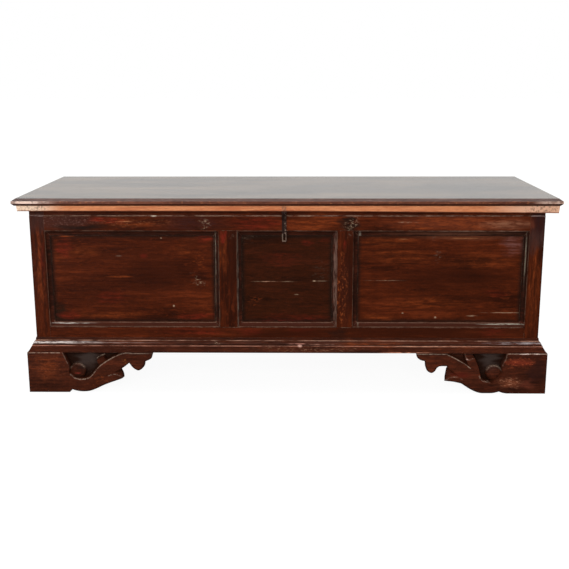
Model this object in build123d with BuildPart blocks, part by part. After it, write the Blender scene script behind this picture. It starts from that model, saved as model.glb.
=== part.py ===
from build123d import *
import os
from math import hypot

# A panelled walnut chest (cassone) with a hinged lid, an iron hasp and carved scroll bracket feet.
# Millimetres, +Z up, the front faces -Y. The origin is on the floor under the middle of the whole chest.

# ------------------------------------------------------------------------------- driving dimensions

# Carcase
carcase_width = 1600
carcase_depth = 566
wall_height = 454
wall_thickness = 27
back_thickness = 20
bottom_thickness = 18
back_board_count = 3
bottom_board_count = 3

# Front frame
front_stile_width = 45
left_muntin_width = 54
right_muntin_width = 48
left_panel_width = 545
middle_panel_width = 316
top_rail_height = 82.5
bottom_rail_height = 59.5
rebate_height = 35
rebate_depth = 4
worn_arris = 2.5
corner_wear = 2

# Side frames
side_stile_width = 64

# Joinery and sunk panels
tenon_length = 30
tenon_shoulder = 12
groove_depth = 8
panel_sinking = 10
panel_thickness = 10
panel_moulding_width = 17.5
panel_fillet = 2.5
panel_step = 1
panel_ovolo_bulge = 2.4
mitre_gap = 0.3

# Base moulding, planted round the front and the sides
base_height = 44
base_projection = 24
base_face_height = 20
base_face_run = 11.5
base_fillet = 2
base_ledge = 2.5
base_ovolo_rise = 12
base_ovolo_run = 5.5
base_ovolo_bulge = 1.5
base_neck_ledge = 1.5
base_neck_slope = 1.5

# Feet
foot_height = 133
foot_ledge = 2.4
left_foot_length = 403
right_foot_length = 415
scroll_thickness = 38
side_foot_length = 215
side_block_length = 112
bracket_lip = 16
bracket_swell = 10
rear_bracket_thickness = 28
carving_depth = 22
pocket_depth = 12
boss_radius = 27
boss_eye_radius = 12
boss_rim = 7
boss_groove = 3
corner_block_size = 60
corner_block_lift = 3

# Lid
lid_thickness = 22
lid_overhang = 41
nosing_run = 11.5
nosing_rise = 8
nosing_under = 7
strip_height = 18
strip_clearance = 2
front_strip_reach = 29
front_strip_foot_reach = 27
left_strip_reach = 29
left_strip_foot_reach = 27
right_strip_reach = 34
right_strip_foot_reach = 32

# Iron strap hinges
hinge_spacing = 1040
hinge_pin_radius = 3.5
hinge_clearance = 0.05
hinge_plate = 2.5
hinge_width = 34
hinge_knuckle_gap = 0.3
hinge_middle_knuckle = 14
hinge_strap_length = 250
hinge_strap_end_width = 22
hinge_leaf_length = 110
pin_head = 2
pin_lip = 1.5
nail_width = 4
nail_head_width = 10
nail_head_height = 2.5
nail_length = 14
strap_nail_spacing = 75
strap_nail_inset = 60
leaf_nail_spacing = 32
leaf_nail_inset = 30
nail_head_taper = 50

# Iron hasp
hasp_offset = -6
hasp_width = 14
hasp_thickness = 2
hasp_length = 95
hasp_neck_length = 6
hasp_crank_drop = 22
hasp_gap = 1
hasp_end_radius = 3
hasp_middle_knuckle = 6
hasp_knuckle_gap = 0.3
hasp_pin_radius = 1.6
hasp_clearance = 0.05
hasp_wall = 2
hasp_leaf_thickness = 1.5
hasp_leaf_length = 16
hasp_slot_width = 7
hasp_slot_height = 21
hasp_slot_radius = 2
hasp_end_bar = 4
hasp_drop = 0.4
hasp_pin_head = 1
hasp_pin_lip = 0.8
hasp_nail_width = 2.2
hasp_nail_head_width = 4.4
hasp_nail_head_height = 1.1
hasp_nail_length = 9
hasp_nail_spacing = 6
hasp_nail_inset = 4

# How far a cut runs past the face that it opens
cut_margin = 1

# --------------------------------------------------------------------------------- derived positions

hinge_bore_radius = hinge_pin_radius + hinge_clearance
hinge_knuckle_radius = hinge_bore_radius + hinge_plate
overall_depth = lid_overhang + carcase_depth + 2 * hinge_knuckle_radius

front_y = -overall_depth / 2 + lid_overhang
back_y = front_y + carcase_depth
side_x = carcase_width / 2

foot_top = foot_height
wall_bottom = foot_top + bottom_thickness
wall_top = wall_bottom + wall_height
opening_bottom = wall_bottom + bottom_rail_height
opening_top = wall_top - top_rail_height
lid_top = wall_top + lid_thickness
strip_bottom = wall_top - strip_height

tongue = (-panel_sinking - panel_thickness, -panel_sinking)
opening_height = (opening_bottom, opening_top)

foot_projection = base_projection + foot_ledge
hinge_xs = (-hinge_spacing / 2, hinge_spacing / 2)

front_face = Plane(origin=(0, front_y, 0), x_dir=(1, 0, 0), z_dir=(0, -1, 0))
side_middle_y = (front_y + wall_thickness + back_y - back_thickness) / 2
side_length = carcase_depth - wall_thickness - back_thickness

os.makedirs("parts", exist_ok=True)


def save(piece, name):
    """Label a finished piece and write it as one STEP file."""
    piece.label = name
    export_step(piece, f"parts/{name}.step")


def bar(along, up, out, mode=Mode.ADD):
    """A square-edged bar between a low and a high limit in each of the three directions."""
    low, high = zip(along, up, out)
    middle = [(a + b) / 2 for a, b in zip(low, high)]
    with Locations(tuple(middle)):
        Box(high[0] - low[0], high[1] - low[1], high[2] - low[2], mode=mode)


# ------------------------------------------------------------------------------- frames and panels
#
# A framed wall is laid out on its outer face: X along the wall, Y up and Z out of the wall.


def panel_limits(opening):
    """The board that fills an opening and stands in the grooves round it."""
    along = (opening[0] - groove_depth, opening[1] + groove_depth)
    up = (opening_bottom - groove_depth, opening_top + groove_depth)
    return along, up, tongue


def rail_tenons(first_opening, last_opening, up):
    """The two end tenons of a rail that spans from the first opening to the last."""
    height = (up[0] + tenon_shoulder, up[1] - tenon_shoulder)
    left = ((first_opening[0] - tenon_length, first_opening[0]), height, tongue)
    right = ((last_opening[1], last_opening[1] + tenon_length), height, tongue)
    return [left, right]


def muntin_tenons(along):
    """The bottom and top tenons of a muntin."""
    width = (along[0] + tenon_shoulder, along[1] - tenon_shoulder)
    lower = (width, (opening_bottom - tenon_length, opening_bottom), tongue)
    upper = (width, (opening_top, opening_top + tenon_length), tongue)
    return [lower, upper]


def frame_member(along, up, tenons=(), cuts=()):
    """A stile, rail or muntin with its own tenons, cut for the tenons and panels that enter it."""
    with BuildPart() as member:
        bar(along, up, (-wall_thickness, 0))
        for tenon in tenons:
            bar(*tenon)
        for cut in cuts:
            bar(*cut, mode=Mode.SUBTRACT)
    return member


def wear_corner(member, along):
    """Round the upright outer corner of a stile at the given place along the wall."""
    upright = member.edges().filter_by(Axis.Y).filter_by_position(Axis.X, along - 0.1, along + 0.1)
    with member:
        fillet(upright.filter_by_position(Axis.Z, -0.1, 0.1), corner_wear)


def rebate_top(member):
    """Set the member's top back, as it runs behind the lid's hanging strip, with a worn arris."""
    step = wall_top - rebate_height
    with member:
        along = (-side_x - cut_margin, side_x + cut_margin)
        bar(along, (step, wall_top + cut_margin), (-rebate_depth, cut_margin), mode=Mode.SUBTRACT)
        arris = member.edges().filter_by(Axis.X).filter_by_position(Axis.Y, step - 0.1, step + 0.1)
        chamfer(arris.filter_by_position(Axis.Z, -0.1, 0.1), worn_arris)


def moulding_stick(length):
    """A length of panel moulding along X, its outer edge on the X axis, mitred at both ends."""
    ovolo_foot = panel_moulding_width - panel_fillet
    with BuildPart() as stick:
        with BuildSketch(Plane.YZ):
            with BuildLine():
                back = Polyline(
                    (ovolo_foot, panel_fillet),
                    (panel_moulding_width, panel_fillet),
                    (panel_moulding_width, 0),
                    (0, 0),
                    (0, panel_sinking),
                    (panel_fillet, panel_sinking),
                    (panel_fillet, panel_sinking - panel_step),
                )
                SagittaArc(back @ 0, back @ 1, panel_ovolo_bulge)
            make_face()
        extrude(amount=length / 2, both=True)
        for end in (-1, 1):
            mitre = Plane(origin=(end * (length - mitre_gap) / 2, 0, 0), z_dir=(end, 1, 0))
            split(bisect_by=mitre, keep=Keep.BOTTOM)
    return stick.part


def moulding_ring(face, opening):
    """Four lengths of moulding round the inside of an opening, standing on its sunk panel."""
    width = opening[1] - opening[0]
    height = opening_top - opening_bottom
    middle = ((opening[0] + opening[1]) / 2, (opening_bottom + opening_top) / 2)
    centre = Location((*middle, -panel_sinking))
    sticks = []
    for i in range(4):
        length, across = (width, height) if i % 2 == 0 else (height, width)
        spot = centre * Location((0, 0, 0), (0, 0, 90 * i)) * Location((0, -across / 2, 0))
        sticks.append(moulding_stick(length).moved(face.location * spot))
    with BuildPart() as ring:
        add(sticks)
    return ring.part


# Front wall

left_opening = (front_stile_width - side_x, front_stile_width - side_x + left_panel_width)
middle_start = left_opening[1] + left_muntin_width
middle_opening = (middle_start, middle_start + middle_panel_width)
right_opening = (middle_opening[1] + right_muntin_width, side_x - front_stile_width)
front_openings = {"left": left_opening, "middle": middle_opening, "right": right_opening}

front_boards = [panel_limits(opening) for opening in front_openings.values()]
top_rail_span = (opening_top, wall_top)
bottom_rail_span = (wall_bottom, opening_bottom)
top_rail_tenons = rail_tenons(left_opening, right_opening, (opening_top, wall_top - rebate_height))
bottom_rail_tenons = rail_tenons(left_opening, right_opening, bottom_rail_span)
front_rail_tenons = top_rail_tenons + bottom_rail_tenons

left_muntin_span = (left_opening[1], middle_opening[0])
right_muntin_span = (middle_opening[1], right_opening[0])
left_muntin_ends = muntin_tenons(left_muntin_span)
right_muntin_ends = muntin_tenons(right_muntin_span)
muntin_ends = left_muntin_ends + right_muntin_ends

full_height = (wall_bottom, wall_top)
stile_cuts = front_rail_tenons + front_boards
left_stile = frame_member((-side_x, left_opening[0]), full_height, cuts=stile_cuts)
right_stile = frame_member((right_opening[1], side_x), full_height, cuts=stile_cuts)
rail_span = (left_opening[0], right_opening[1])
top_rail = frame_member(rail_span, top_rail_span, top_rail_tenons, front_boards + muntin_ends)
bottom_rail = frame_member(rail_span, bottom_rail_span, bottom_rail_tenons, front_boards + muntin_ends)
left_muntin = frame_member(left_muntin_span, opening_height, left_muntin_ends, front_boards)
right_muntin = frame_member(right_muntin_span, opening_height, right_muntin_ends, front_boards)

rebate_top(left_stile)
rebate_top(right_stile)
rebate_top(top_rail)
wear_corner(left_stile, -side_x)
wear_corner(right_stile, side_x)

front_members = {
    "front_left_stile": left_stile,
    "front_right_stile": right_stile,
    "front_top_rail": top_rail,
    "front_bottom_rail": bottom_rail,
    "front_left_muntin": left_muntin,
    "front_right_muntin": right_muntin,
}
for name, member in front_members.items():
    save(member.part.moved(front_face.location), name)

for name, opening in front_openings.items():
    with BuildPart() as panel:
        bar(*panel_limits(opening))
    save(panel.part.moved(front_face.location), f"front_{name}_panel")
    save(moulding_ring(front_face, opening), f"front_{name}_moulding")

# Side walls, between the front frame and the back boards


def side_wall(name, side):
    """One framed side wall; side is -1 on the left and 1 on the right."""
    face = Plane(origin=(side * side_x, side_middle_y, 0), x_dir=(0, side, 0), z_dir=(side, 0, 0))
    half = side_length / 2
    opening = (side_stile_width - half, half - side_stile_width)
    board = panel_limits(opening)
    upper = rail_tenons(opening, opening, top_rail_span)
    lower = rail_tenons(opening, opening, bottom_rail_span)
    cuts = upper + lower + [board]
    first_stile = frame_member((-half, opening[0]), full_height, cuts=cuts)
    second_stile = frame_member((opening[1], half), full_height, cuts=cuts)
    front_stile, rear_stile = (first_stile, second_stile)[::side]
    members = {
        f"{name}_front_stile": front_stile,
        f"{name}_rear_stile": rear_stile,
        f"{name}_top_rail": frame_member(opening, top_rail_span, upper, [board]),
        f"{name}_bottom_rail": frame_member(opening, bottom_rail_span, lower, [board]),
    }
    for member_name, member in members.items():
        save(member.part.moved(face.location), member_name)
    with BuildPart() as panel:
        bar(*board)
    save(panel.part.moved(face.location), f"{name}_panel")
    save(moulding_ring(face, opening), f"{name}_moulding")


side_wall("left", -1)
side_wall("right", 1)

# ---------------------------------------------------------------------------------- back and bottom

hinge_y = back_y + hinge_knuckle_radius
hinge_z = wall_top + hinge_plate - hinge_knuckle_radius
leaf_nail_zs = [hinge_z - leaf_nail_inset - i * leaf_nail_spacing for i in range(3)]
nail_half = nail_width / 2


def leaf_nail_shanks(mode=Mode.ADD):
    """The square shanks of the nails that hold the hinges' leaves to the back."""
    head_y = back_y + hinge_plate
    for x in hinge_xs:
        for z in leaf_nail_zs:
            depth = (head_y - nail_length, head_y)
            bar((x - nail_half, x + nail_half), depth, (z - nail_half, z + nail_half), mode)


back_board_height = wall_height / back_board_count
for i, place in enumerate(("bottom", "middle", "top")):
    low = wall_bottom + i * back_board_height
    with BuildPart() as board:
        bar((-side_x, side_x), (back_y - back_thickness, back_y), (low, low + back_board_height))
        leaf_nail_shanks(Mode.SUBTRACT)
    save(board.part, f"back_{place}_board")

bottom_board_depth = carcase_depth / bottom_board_count
for i, place in enumerate(("front", "middle", "rear")):
    near = front_y + i * bottom_board_depth
    with BuildPart() as board:
        bar((-side_x, side_x), (near, near + bottom_board_depth), (foot_top, wall_bottom))
    save(board.part, f"bottom_{place}_board")

# ------------------------------------------------------------------------------------- base moulding


def base_length(middle, out, length):
    """Base moulding planted on a wall: its middle at the wall's foot, its face turned outwards."""
    across = Vector(*out).cross(Vector(0, 0, 1))
    face_head = base_projection - base_face_run
    fillet_top = base_face_height + base_fillet
    ovolo_foot = face_head - base_ledge
    ovolo_head = ovolo_foot - base_ovolo_run
    ovolo_top = fillet_top + base_ovolo_rise
    neck = ovolo_head - base_neck_ledge
    with BuildPart() as moulding:
        with BuildSketch(Plane(origin=(*middle, foot_top), x_dir=out, z_dir=across)):
            with BuildLine():
                profile = Polyline(
                    (ovolo_head, ovolo_top),
                    (neck, ovolo_top),
                    (neck - base_neck_slope, base_height),
                    (0, base_height),
                    (0, 0),
                    (base_projection, 0),
                    (face_head, base_face_height),
                    (face_head, fillet_top),
                    (ovolo_foot, fillet_top),
                )
                SagittaArc(profile @ 1, profile @ 0, -base_ovolo_bulge)
            make_face()
        extrude(amount=length / 2, both=True)
    return moulding


base_front = base_length((0, front_y), (0, -1, 0), 2 * (side_x + base_projection))
with base_front:
    for side in (-1, 1):
        mitre = Plane(origin=(side * (side_x - mitre_gap / 2), front_y, 0), z_dir=(side, 1, 0))
        split(bisect_by=mitre, keep=Keep.BOTTOM)
save(base_front.part, "base_front_moulding")

base_side_length = carcase_depth + base_projection
base_side_middle = back_y - base_side_length / 2
for name, side in (("left", -1), ("right", 1)):
    base_side = base_length((side * side_x, base_side_middle), (side, 0, 0), base_side_length)
    with base_side:
        mitre = Plane(origin=(side * (side_x + mitre_gap / 2), front_y, 0), z_dir=(side, 1, 0))
        split(bisect_by=mitre, keep=Keep.TOP)
    save(base_side.part, f"base_{name}_moulding")

# ---------------------------------------------------------------------------------------------- feet
#
# The two front scrolls are cut by hand and differ. Their outlines are drawn from the outer corner
# inwards, as shares of the scroll's length and the feet's height.

front_corner = side_x + foot_projection
scroll_y = front_y - foot_projection


def shares(length, *points):
    """Points of a front scroll, from their shares of its length and height."""
    return [(inward * length, up * foot_height) for inward, up in points]


def left_scroll():
    """The outline of the left scroll: block, belly, leaf tip, arch, lobe and end."""
    toe, belly, heel, lip, notch, arch, lobe, dip, rise, end, top = shares(
        left_foot_length,
        (0.342, 0.068),
        (0.43, 0.012),
        (0.53, 0.08),
        (0.735, 0.34),
        (0.765, 0.402),
        (0.741, 0.6),
        (0.805, 0.744),
        (0.874, 0.55),
        (0.935, 0.79),
        (0.984, 0.88),
        (1, 1),
    )
    Polyline(toe, *shares(left_foot_length, (0.323, 0), (0, 0), (0, 1)), top)
    ThreePointArc(toe, belly, heel)
    Polyline(heel, lip, notch, arch, lobe)
    ThreePointArc(lobe, dip, rise)
    Polyline(rise, end, top)


def left_carving():
    """The sunk ground of the left scroll, round its boss and under the leaf."""
    rim, bowl, crest = shares(left_foot_length, (0.33, 0.66), (0.42, 0.31), (0.51, 0.47))
    ThreePointArc(rim, bowl, crest)
    Polyline(crest, *shares(left_foot_length, (0.575, 1.01), (0.278, 1.01), (0.308, 0.8)), rim)


def right_scroll():
    """The outline of the right scroll, with a rounder end, a squarer leaf tip and a deep lobe."""
    toe, belly, heel, tip, arch, lobe, dip, rise, turn, end, top = shares(
        right_foot_length,
        (0.354, 0.045),
        (0.45, 0.004),
        (0.576, 0.12),
        (0.777, 0.335),
        (0.762, 0.7),
        (0.82, 0.69),
        (0.878, 0.51),
        (0.932, 0.805),
        (0.966, 0.83),
        (0.991, 0.9),
        (1, 1),
    )
    Polyline(toe, *shares(right_foot_length, (0.3, 0), (0, 0), (0, 1)), top)
    ThreePointArc(toe, belly, heel)
    Polyline(heel, *shares(right_foot_length, (0.648, 0.27)), tip, arch, lobe)
    ThreePointArc(lobe, dip, rise)
    Polyline(rise, turn, end, top)


def right_carving():
    """The sunk ground of the right scroll."""
    rim, bowl, crest = shares(right_foot_length, (0.345, 0.64), (0.418, 0.31), (0.486, 0.46))
    ThreePointArc(rim, bowl, crest)
    head = shares(right_foot_length, (0.552, 1.01), (0.309, 1.01), (0.311, 0.88), (0.33, 0.8))
    Polyline(crest, *head, rim)


left_pockets = [
    [(0.59, 1.01), (0.69, 1.01), (0.575, 0.77)],
    [(0.62, 0.45), (0.738, 0.6), (0.757, 0.43), (0.69, 0.48)],
]
right_pockets = [
    [(0.592, 1.01), (0.66, 1.01), (0.561, 0.76)],
    [(0.67, 0.4), (0.767, 0.66), (0.774, 0.37), (0.724, 0.44)],
]


def ease_top(foot, side, front):
    """Chamfer a foot's top arris where it stands past the moulding, outside and on a scroll in front."""
    rim = foot.faces().sort_by(Axis.Z)[-1].edges()
    arrises = [rim.sort_by(Axis.X)[::side][-1]]
    if front:
        arrises.append(rim.sort_by(Axis.Y)[0])
    chamfer(arrises, foot_ledge)


def carved_foot(side, length, outline, carving, boss_share, pockets):
    """A front scroll sawn from a thick board, with its boss standing in a sunk ground.

    It is drawn on the board's front face, from the outer corner inwards; side is -1 on the left."""
    face = Plane(origin=(side * front_corner, scroll_y, 0), x_dir=(-side, 0, 0), z_dir=(0, side, 0))
    boss = shares(length, boss_share)[0]
    with BuildPart() as foot:
        with BuildSketch(face):
            with BuildLine():
                outline()
            make_face()
        extrude(amount=side * scroll_thickness)
        ease_top(foot, side, front=True)
        with BuildSketch(face):
            with BuildLine():
                carving()
            make_face()
            with Locations(boss):
                Circle(boss_radius, mode=Mode.SUBTRACT)
        extrude(amount=side * carving_depth, mode=Mode.SUBTRACT)
        with BuildSketch(face):
            with Locations(boss):
                Circle(boss_radius - boss_rim)
                Circle(boss_eye_radius, mode=Mode.SUBTRACT)
        extrude(amount=side * boss_groove, mode=Mode.SUBTRACT)
        with BuildSketch(face):
            for pocket in pockets:
                with BuildLine():
                    Polyline(*shares(length, *pocket), close=True)
                make_face()
        extrude(amount=side * pocket_depth, mode=Mode.SUBTRACT)
    return foot


def bracket_outline(start):
    """A plain ogee bracket from its start to its end, drawn from the corner inwards."""
    lip = (side_foot_length, foot_height - bracket_lip)
    toe = (side_block_length, 0)
    middle = ((lip[0] + toe[0]) / 2, (lip[1] + toe[1]) / 2)
    Polyline(toe, (start, 0), (start, foot_height), (side_foot_length, foot_height), lip)
    SagittaArc(lip, middle, -bracket_swell)
    SagittaArc(middle, toe, bracket_swell)


def plain_bracket(face, start, thickness):
    """A plain bracket board sawn to the ogee outline, with one side on the face plane."""
    with BuildPart() as bracket:
        with BuildSketch(face):
            with BuildLine():
                bracket_outline(start)
            make_face()
        extrude(amount=thickness)
    return bracket


left_boss = (0.388, 0.538)
left_foot = carved_foot(-1, left_foot_length, left_scroll, left_carving, left_boss, left_pockets)
save(left_foot.part, "front_left_foot_scroll")
right_boss = (0.401, 0.481)
right_foot = carved_foot(1, right_foot_length, right_scroll, right_carving, right_boss, right_pockets)
save(right_foot.part, "front_right_foot_scroll")

for name, side in (("left", -1), ("right", 1)):
    outer = side * front_corner
    front_face_in = Plane(origin=(outer, scroll_y, 0), x_dir=(0, 1, 0), z_dir=(1, 0, 0))
    rear_face_in = Plane(origin=(outer, back_y, 0), x_dir=(0, -1, 0), z_dir=(-1, 0, 0))
    front_side = plain_bracket(front_face_in, scroll_thickness, -side * scroll_thickness)
    rear_side = plain_bracket(rear_face_in, 0, side * scroll_thickness)
    for place, board in (("front", front_side), ("rear", rear_side)):
        with board:
            ease_top(board, side, front=False)
        save(board.part, f"{place}_{name}_foot_side")
    back_face = Plane(origin=(outer, back_y, 0), x_dir=(-side, 0, 0), z_dir=(0, side, 0))
    rear_back = plain_bracket(back_face, scroll_thickness, -side * rear_bracket_thickness)
    save(rear_back.part, f"rear_{name}_foot_back")

block_x = front_corner - scroll_thickness
front_block_y = scroll_y + scroll_thickness
rear_block_y = back_y - rear_bracket_thickness
with BuildPart() as corner_blocks:
    for side in (-1, 1):
        across = sorted((side * block_x, side * (block_x - corner_block_size)))
        bar(across, (front_block_y, front_block_y + corner_block_size), (corner_block_lift, foot_top))
        bar(across, (rear_block_y - corner_block_size, rear_block_y), (corner_block_lift, foot_top))
save(corner_blocks.part, "corner_blocks")

# ------------------------------------------------------------------------------------- strap hinges

strap_nail_ys = [back_y - strap_nail_inset - i * strap_nail_spacing for i in range(3)]
middle_half = hinge_middle_knuckle / 2
outer_half = hinge_width / 2


def strap_outline(x):
    """The outline of the strap's flat part: a narrow neck at the back, a taper and a round end."""
    widest = back_y - hinge_width
    tip = back_y - hinge_strap_length
    end_half = hinge_strap_end_width / 2
    Polyline(
        (x + end_half, tip),
        (x + outer_half, widest),
        (x + middle_half, back_y - middle_half),
        (x + middle_half, back_y),
        (x - middle_half, back_y),
        (x - middle_half, back_y - middle_half),
        (x - outer_half, widest),
        (x - end_half, tip),
    )
    ThreePointArc((x - end_half, tip), (x, tip - end_half), (x + end_half, tip))


def hinge_barrel(x, radius, length, mode=Mode.ADD):
    """A cylinder on the hinge line with its middle at x."""
    with Locations(Plane((x, hinge_y, hinge_z), z_dir=(1, 0, 0))):
        Cylinder(radius, length, mode=mode)


outer_knuckle_length = (hinge_width - hinge_middle_knuckle) / 2 - hinge_knuckle_gap
outer_knuckle_offset = (hinge_width - outer_knuckle_length) / 2


def strap_nail_shanks(mode=Mode.ADD):
    """The square shanks of the nails that hold the hinges' straps to the lid."""
    for x in hinge_xs:
        for y in strap_nail_ys:
            upright = (wall_top, wall_top + nail_length)
            bar((x - nail_half, x + nail_half), (y - nail_half, y + nail_half), upright, mode)


for name, x in zip(("left", "right"), hinge_xs):
    with BuildPart() as strap:
        with BuildSketch(Plane.XY.offset(wall_top)):
            with BuildLine():
                strap_outline(x)
            make_face()
        extrude(amount=hinge_plate)
        bar((x - middle_half, x + middle_half), (back_y, hinge_y), (wall_top, wall_top + hinge_plate))
        hinge_barrel(x, hinge_knuckle_radius, hinge_middle_knuckle)
        hinge_barrel(x, hinge_bore_radius, 2 * hinge_width, Mode.SUBTRACT)
        strap_nail_shanks(Mode.SUBTRACT)
    save(strap.part, f"{name}_hinge_strap")

    with BuildPart() as leaf:
        upright = (hinge_z - hinge_leaf_length, hinge_z)
        bar((x - outer_half, x + outer_half), (back_y, back_y + hinge_plate), upright)
        clear_half = middle_half + hinge_knuckle_gap
        clear_depth = hinge_knuckle_radius + hinge_knuckle_gap
        bar(
            (x - clear_half, x + clear_half),
            (back_y - cut_margin, back_y + hinge_plate + cut_margin),
            (hinge_z - clear_depth, hinge_z + cut_margin),
            mode=Mode.SUBTRACT,
        )
        for end in (-1, 1):
            hinge_barrel(x + end * outer_knuckle_offset, hinge_knuckle_radius, outer_knuckle_length)
        hinge_barrel(x, hinge_bore_radius, 2 * hinge_width, Mode.SUBTRACT)
        leaf_nail_shanks(Mode.SUBTRACT)
    save(leaf.part, f"{name}_hinge_leaf")

    with BuildPart() as pin:
        hinge_barrel(x, hinge_pin_radius, hinge_width)
        for end in (-1, 1):
            hinge_barrel(x + end * (hinge_width + pin_head) / 2, hinge_pin_radius + pin_lip, pin_head)
    save(pin.part, f"{name}_hinge_pin")

with BuildPart() as strap_nails:
    strap_nail_shanks()
save(strap_nails.part, "hinge_strap_nails")

with BuildPart() as leaf_nails:
    leaf_nail_shanks()
    with BuildSketch(Plane(origin=(0, back_y + hinge_plate, 0), x_dir=(-1, 0, 0), z_dir=(0, 1, 0))):
        with Locations(*[(-x, z) for x in hinge_xs for z in leaf_nail_zs]):
            Rectangle(nail_head_width, nail_head_width)
    extrude(amount=nail_head_height, taper=nail_head_taper)
save(leaf_nails.part, "hinge_leaf_nails")

# ----------------------------------------------------------------------------------------------- lid

lid_side = side_x + lid_overhang
lid_front = front_y - lid_overhang
with BuildPart() as lid:
    bar((-lid_side, lid_side), (lid_front, back_y), (wall_top, lid_top))
    top = lid.faces().sort_by(Axis.Z)[-1]
    chamfer(top.edges().sort_by(Axis.Y)[:-1], nosing_run, nosing_rise, reference=top)
    underside = lid.faces().sort_by(Axis.Z)[0]
    chamfer(underside.edges().sort_by(Axis.Y)[:-1], nosing_under)
    with BuildSketch(Plane.XY.offset(wall_top)):
        for x in hinge_xs:
            with BuildLine():
                strap_outline(x)
            make_face()
    extrude(amount=hinge_plate, mode=Mode.SUBTRACT)
    strap_nail_shanks(Mode.SUBTRACT)
save(lid.part, "lid_board")

# ------------------------------------------------------------------ hanging strip under the lid
#
# The strip's face slopes back as it goes down. The hasp's leaf lies on the slope of the front length.

slope_run = front_strip_reach - front_strip_foot_reach
slope_length = hypot(slope_run, strip_height)
slope_out = Vector(0, -strip_height / slope_length, -slope_run / slope_length)
strip_toe = Vector(hasp_offset, front_y - front_strip_foot_reach, strip_bottom)
slope = Plane(origin=strip_toe, x_dir=(1, 0, 0), z_dir=slope_out)
hasp_nail_ups = [hasp_leaf_length - hasp_nail_inset - i * hasp_nail_spacing for i in range(2)]


def level_rectangle(along, depth):
    """A rectangle between two limits each way, in a level sketch."""
    with Locations(((along[0] + along[1]) / 2, (depth[0] + depth[1]) / 2)):
        Rectangle(along[1] - along[0], depth[1] - depth[0])


def hasp_nail_shanks(mode=Mode.ADD):
    """The square shanks of the nails through the hasp's leaf."""
    for up in hasp_nail_ups:
        with Locations(slope * Location((0, up, hasp_leaf_thickness - hasp_nail_length / 2))):
            Box(hasp_nail_width, hasp_nail_width, hasp_nail_length, mode=mode)


strip_back = front_y - strip_clearance
with BuildPart() as front_strip:
    with BuildSketch(Plane.XY.offset(strip_bottom)):
        foot_limits = (-side_x - left_strip_foot_reach, side_x + right_strip_foot_reach)
        level_rectangle(foot_limits, (front_y - front_strip_foot_reach, strip_back))
    with BuildSketch(Plane.XY.offset(wall_top)):
        head_limits = (-side_x - left_strip_reach, side_x + right_strip_reach)
        level_rectangle(head_limits, (front_y - front_strip_reach, strip_back))
    loft()
    hasp_nail_shanks(Mode.SUBTRACT)
save(front_strip.part, "lid_front_strip")

side_strips = (
    ("left", -1, left_strip_reach, left_strip_foot_reach),
    ("right", 1, right_strip_reach, right_strip_foot_reach),
)
for name, side, reach, foot_reach in side_strips:
    inner = side * (side_x + strip_clearance)
    with BuildPart() as strip:
        for height, outer_reach in ((strip_bottom, foot_reach), (wall_top, reach)):
            with BuildSketch(Plane.XY.offset(height)):
                level_rectangle(sorted((inner, side * (side_x + outer_reach))), (strip_back, back_y))
        loft()
    save(strip.part, f"lid_{name}_strip")

# ---------------------------------------------------------------------------------------- iron hasp

hasp_bore_radius = hasp_pin_radius + hasp_clearance
hasp_knuckle_radius = hasp_bore_radius + hasp_wall
axis_depth = hasp_knuckle_radius - hasp_leaf_thickness
rise_per_slope = strip_height / slope_length
axis_drop = (hasp_knuckle_radius + hasp_drop - axis_depth * slope_out.Z) / rise_per_slope
axis_spot = slope * Location((0, -axis_drop, -axis_depth))
hasp_y = axis_spot.position.Y
hasp_z = axis_spot.position.Z
hasp_half = hasp_width / 2
hasp_middle_half = hasp_middle_knuckle / 2
notch_half = hasp_middle_half + hasp_knuckle_gap
hasp_outer_knuckle = hasp_half - notch_half


def hasp_barrel(offset, radius, length, mode=Mode.ADD):
    """A cylinder on the hasp's pin line, its middle at an offset along it."""
    with Locations(Plane((hasp_offset + offset, hasp_y, hasp_z), z_dir=(1, 0, 0))):
        Cylinder(radius, length, mode=mode)


with BuildPart() as hasp_leaf:
    with BuildSketch(slope):
        with Locations((0, (hasp_leaf_length - axis_drop) / 2)):
            Rectangle(hasp_width, hasp_leaf_length + axis_drop)
        with Locations((0, -axis_drop)):
            Rectangle(2 * notch_half, 2 * (hasp_neck_length + hasp_gap), mode=Mode.SUBTRACT)
    extrude(amount=hasp_leaf_thickness)
    for end in (-1, 1):
        hasp_barrel(end * (hasp_half - hasp_outer_knuckle / 2), hasp_knuckle_radius, hasp_outer_knuckle)
    hasp_barrel(0, hasp_bore_radius, 2 * hasp_width, Mode.SUBTRACT)
    hasp_nail_shanks(Mode.SUBTRACT)
save(hasp_leaf.part, "hasp_leaf")

with BuildPart() as hasp_nails:
    hasp_nail_shanks()
    with BuildSketch(slope.offset(hasp_leaf_thickness)):
        with Locations(*[(0, up) for up in hasp_nail_ups]):
            Rectangle(hasp_nail_head_width, hasp_nail_head_width)
    extrude(amount=hasp_nail_head_height, taper=nail_head_taper)
save(hasp_nails.part, "hasp_nails")

with BuildPart() as hasp_pin:
    hasp_barrel(0, hasp_pin_radius, hasp_width)
    for end in (-1, 1):
        head_offset = end * (hasp_width + hasp_pin_head) / 2
        hasp_barrel(head_offset, hasp_pin_radius + hasp_pin_lip, hasp_pin_head)
save(hasp_pin.part, "hasp_pin")

# The hasp falls straight from its knuckle, is cranked back under the strip and hangs before the rail.

half_thick = hasp_thickness / 2
blade_y = front_y - hasp_gap - half_thick
blade_foot = hasp_z - hasp_length
neck_foot = hasp_z - hasp_neck_length
crank_foot = neck_foot - hasp_crank_drop
crank_run = blade_y - hasp_y
crank_shift = hasp_thickness * (hypot(crank_run, hasp_crank_drop) - hasp_crank_drop) / crank_run
slot_z = blade_foot + hasp_end_bar + hasp_slot_height / 2

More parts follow.
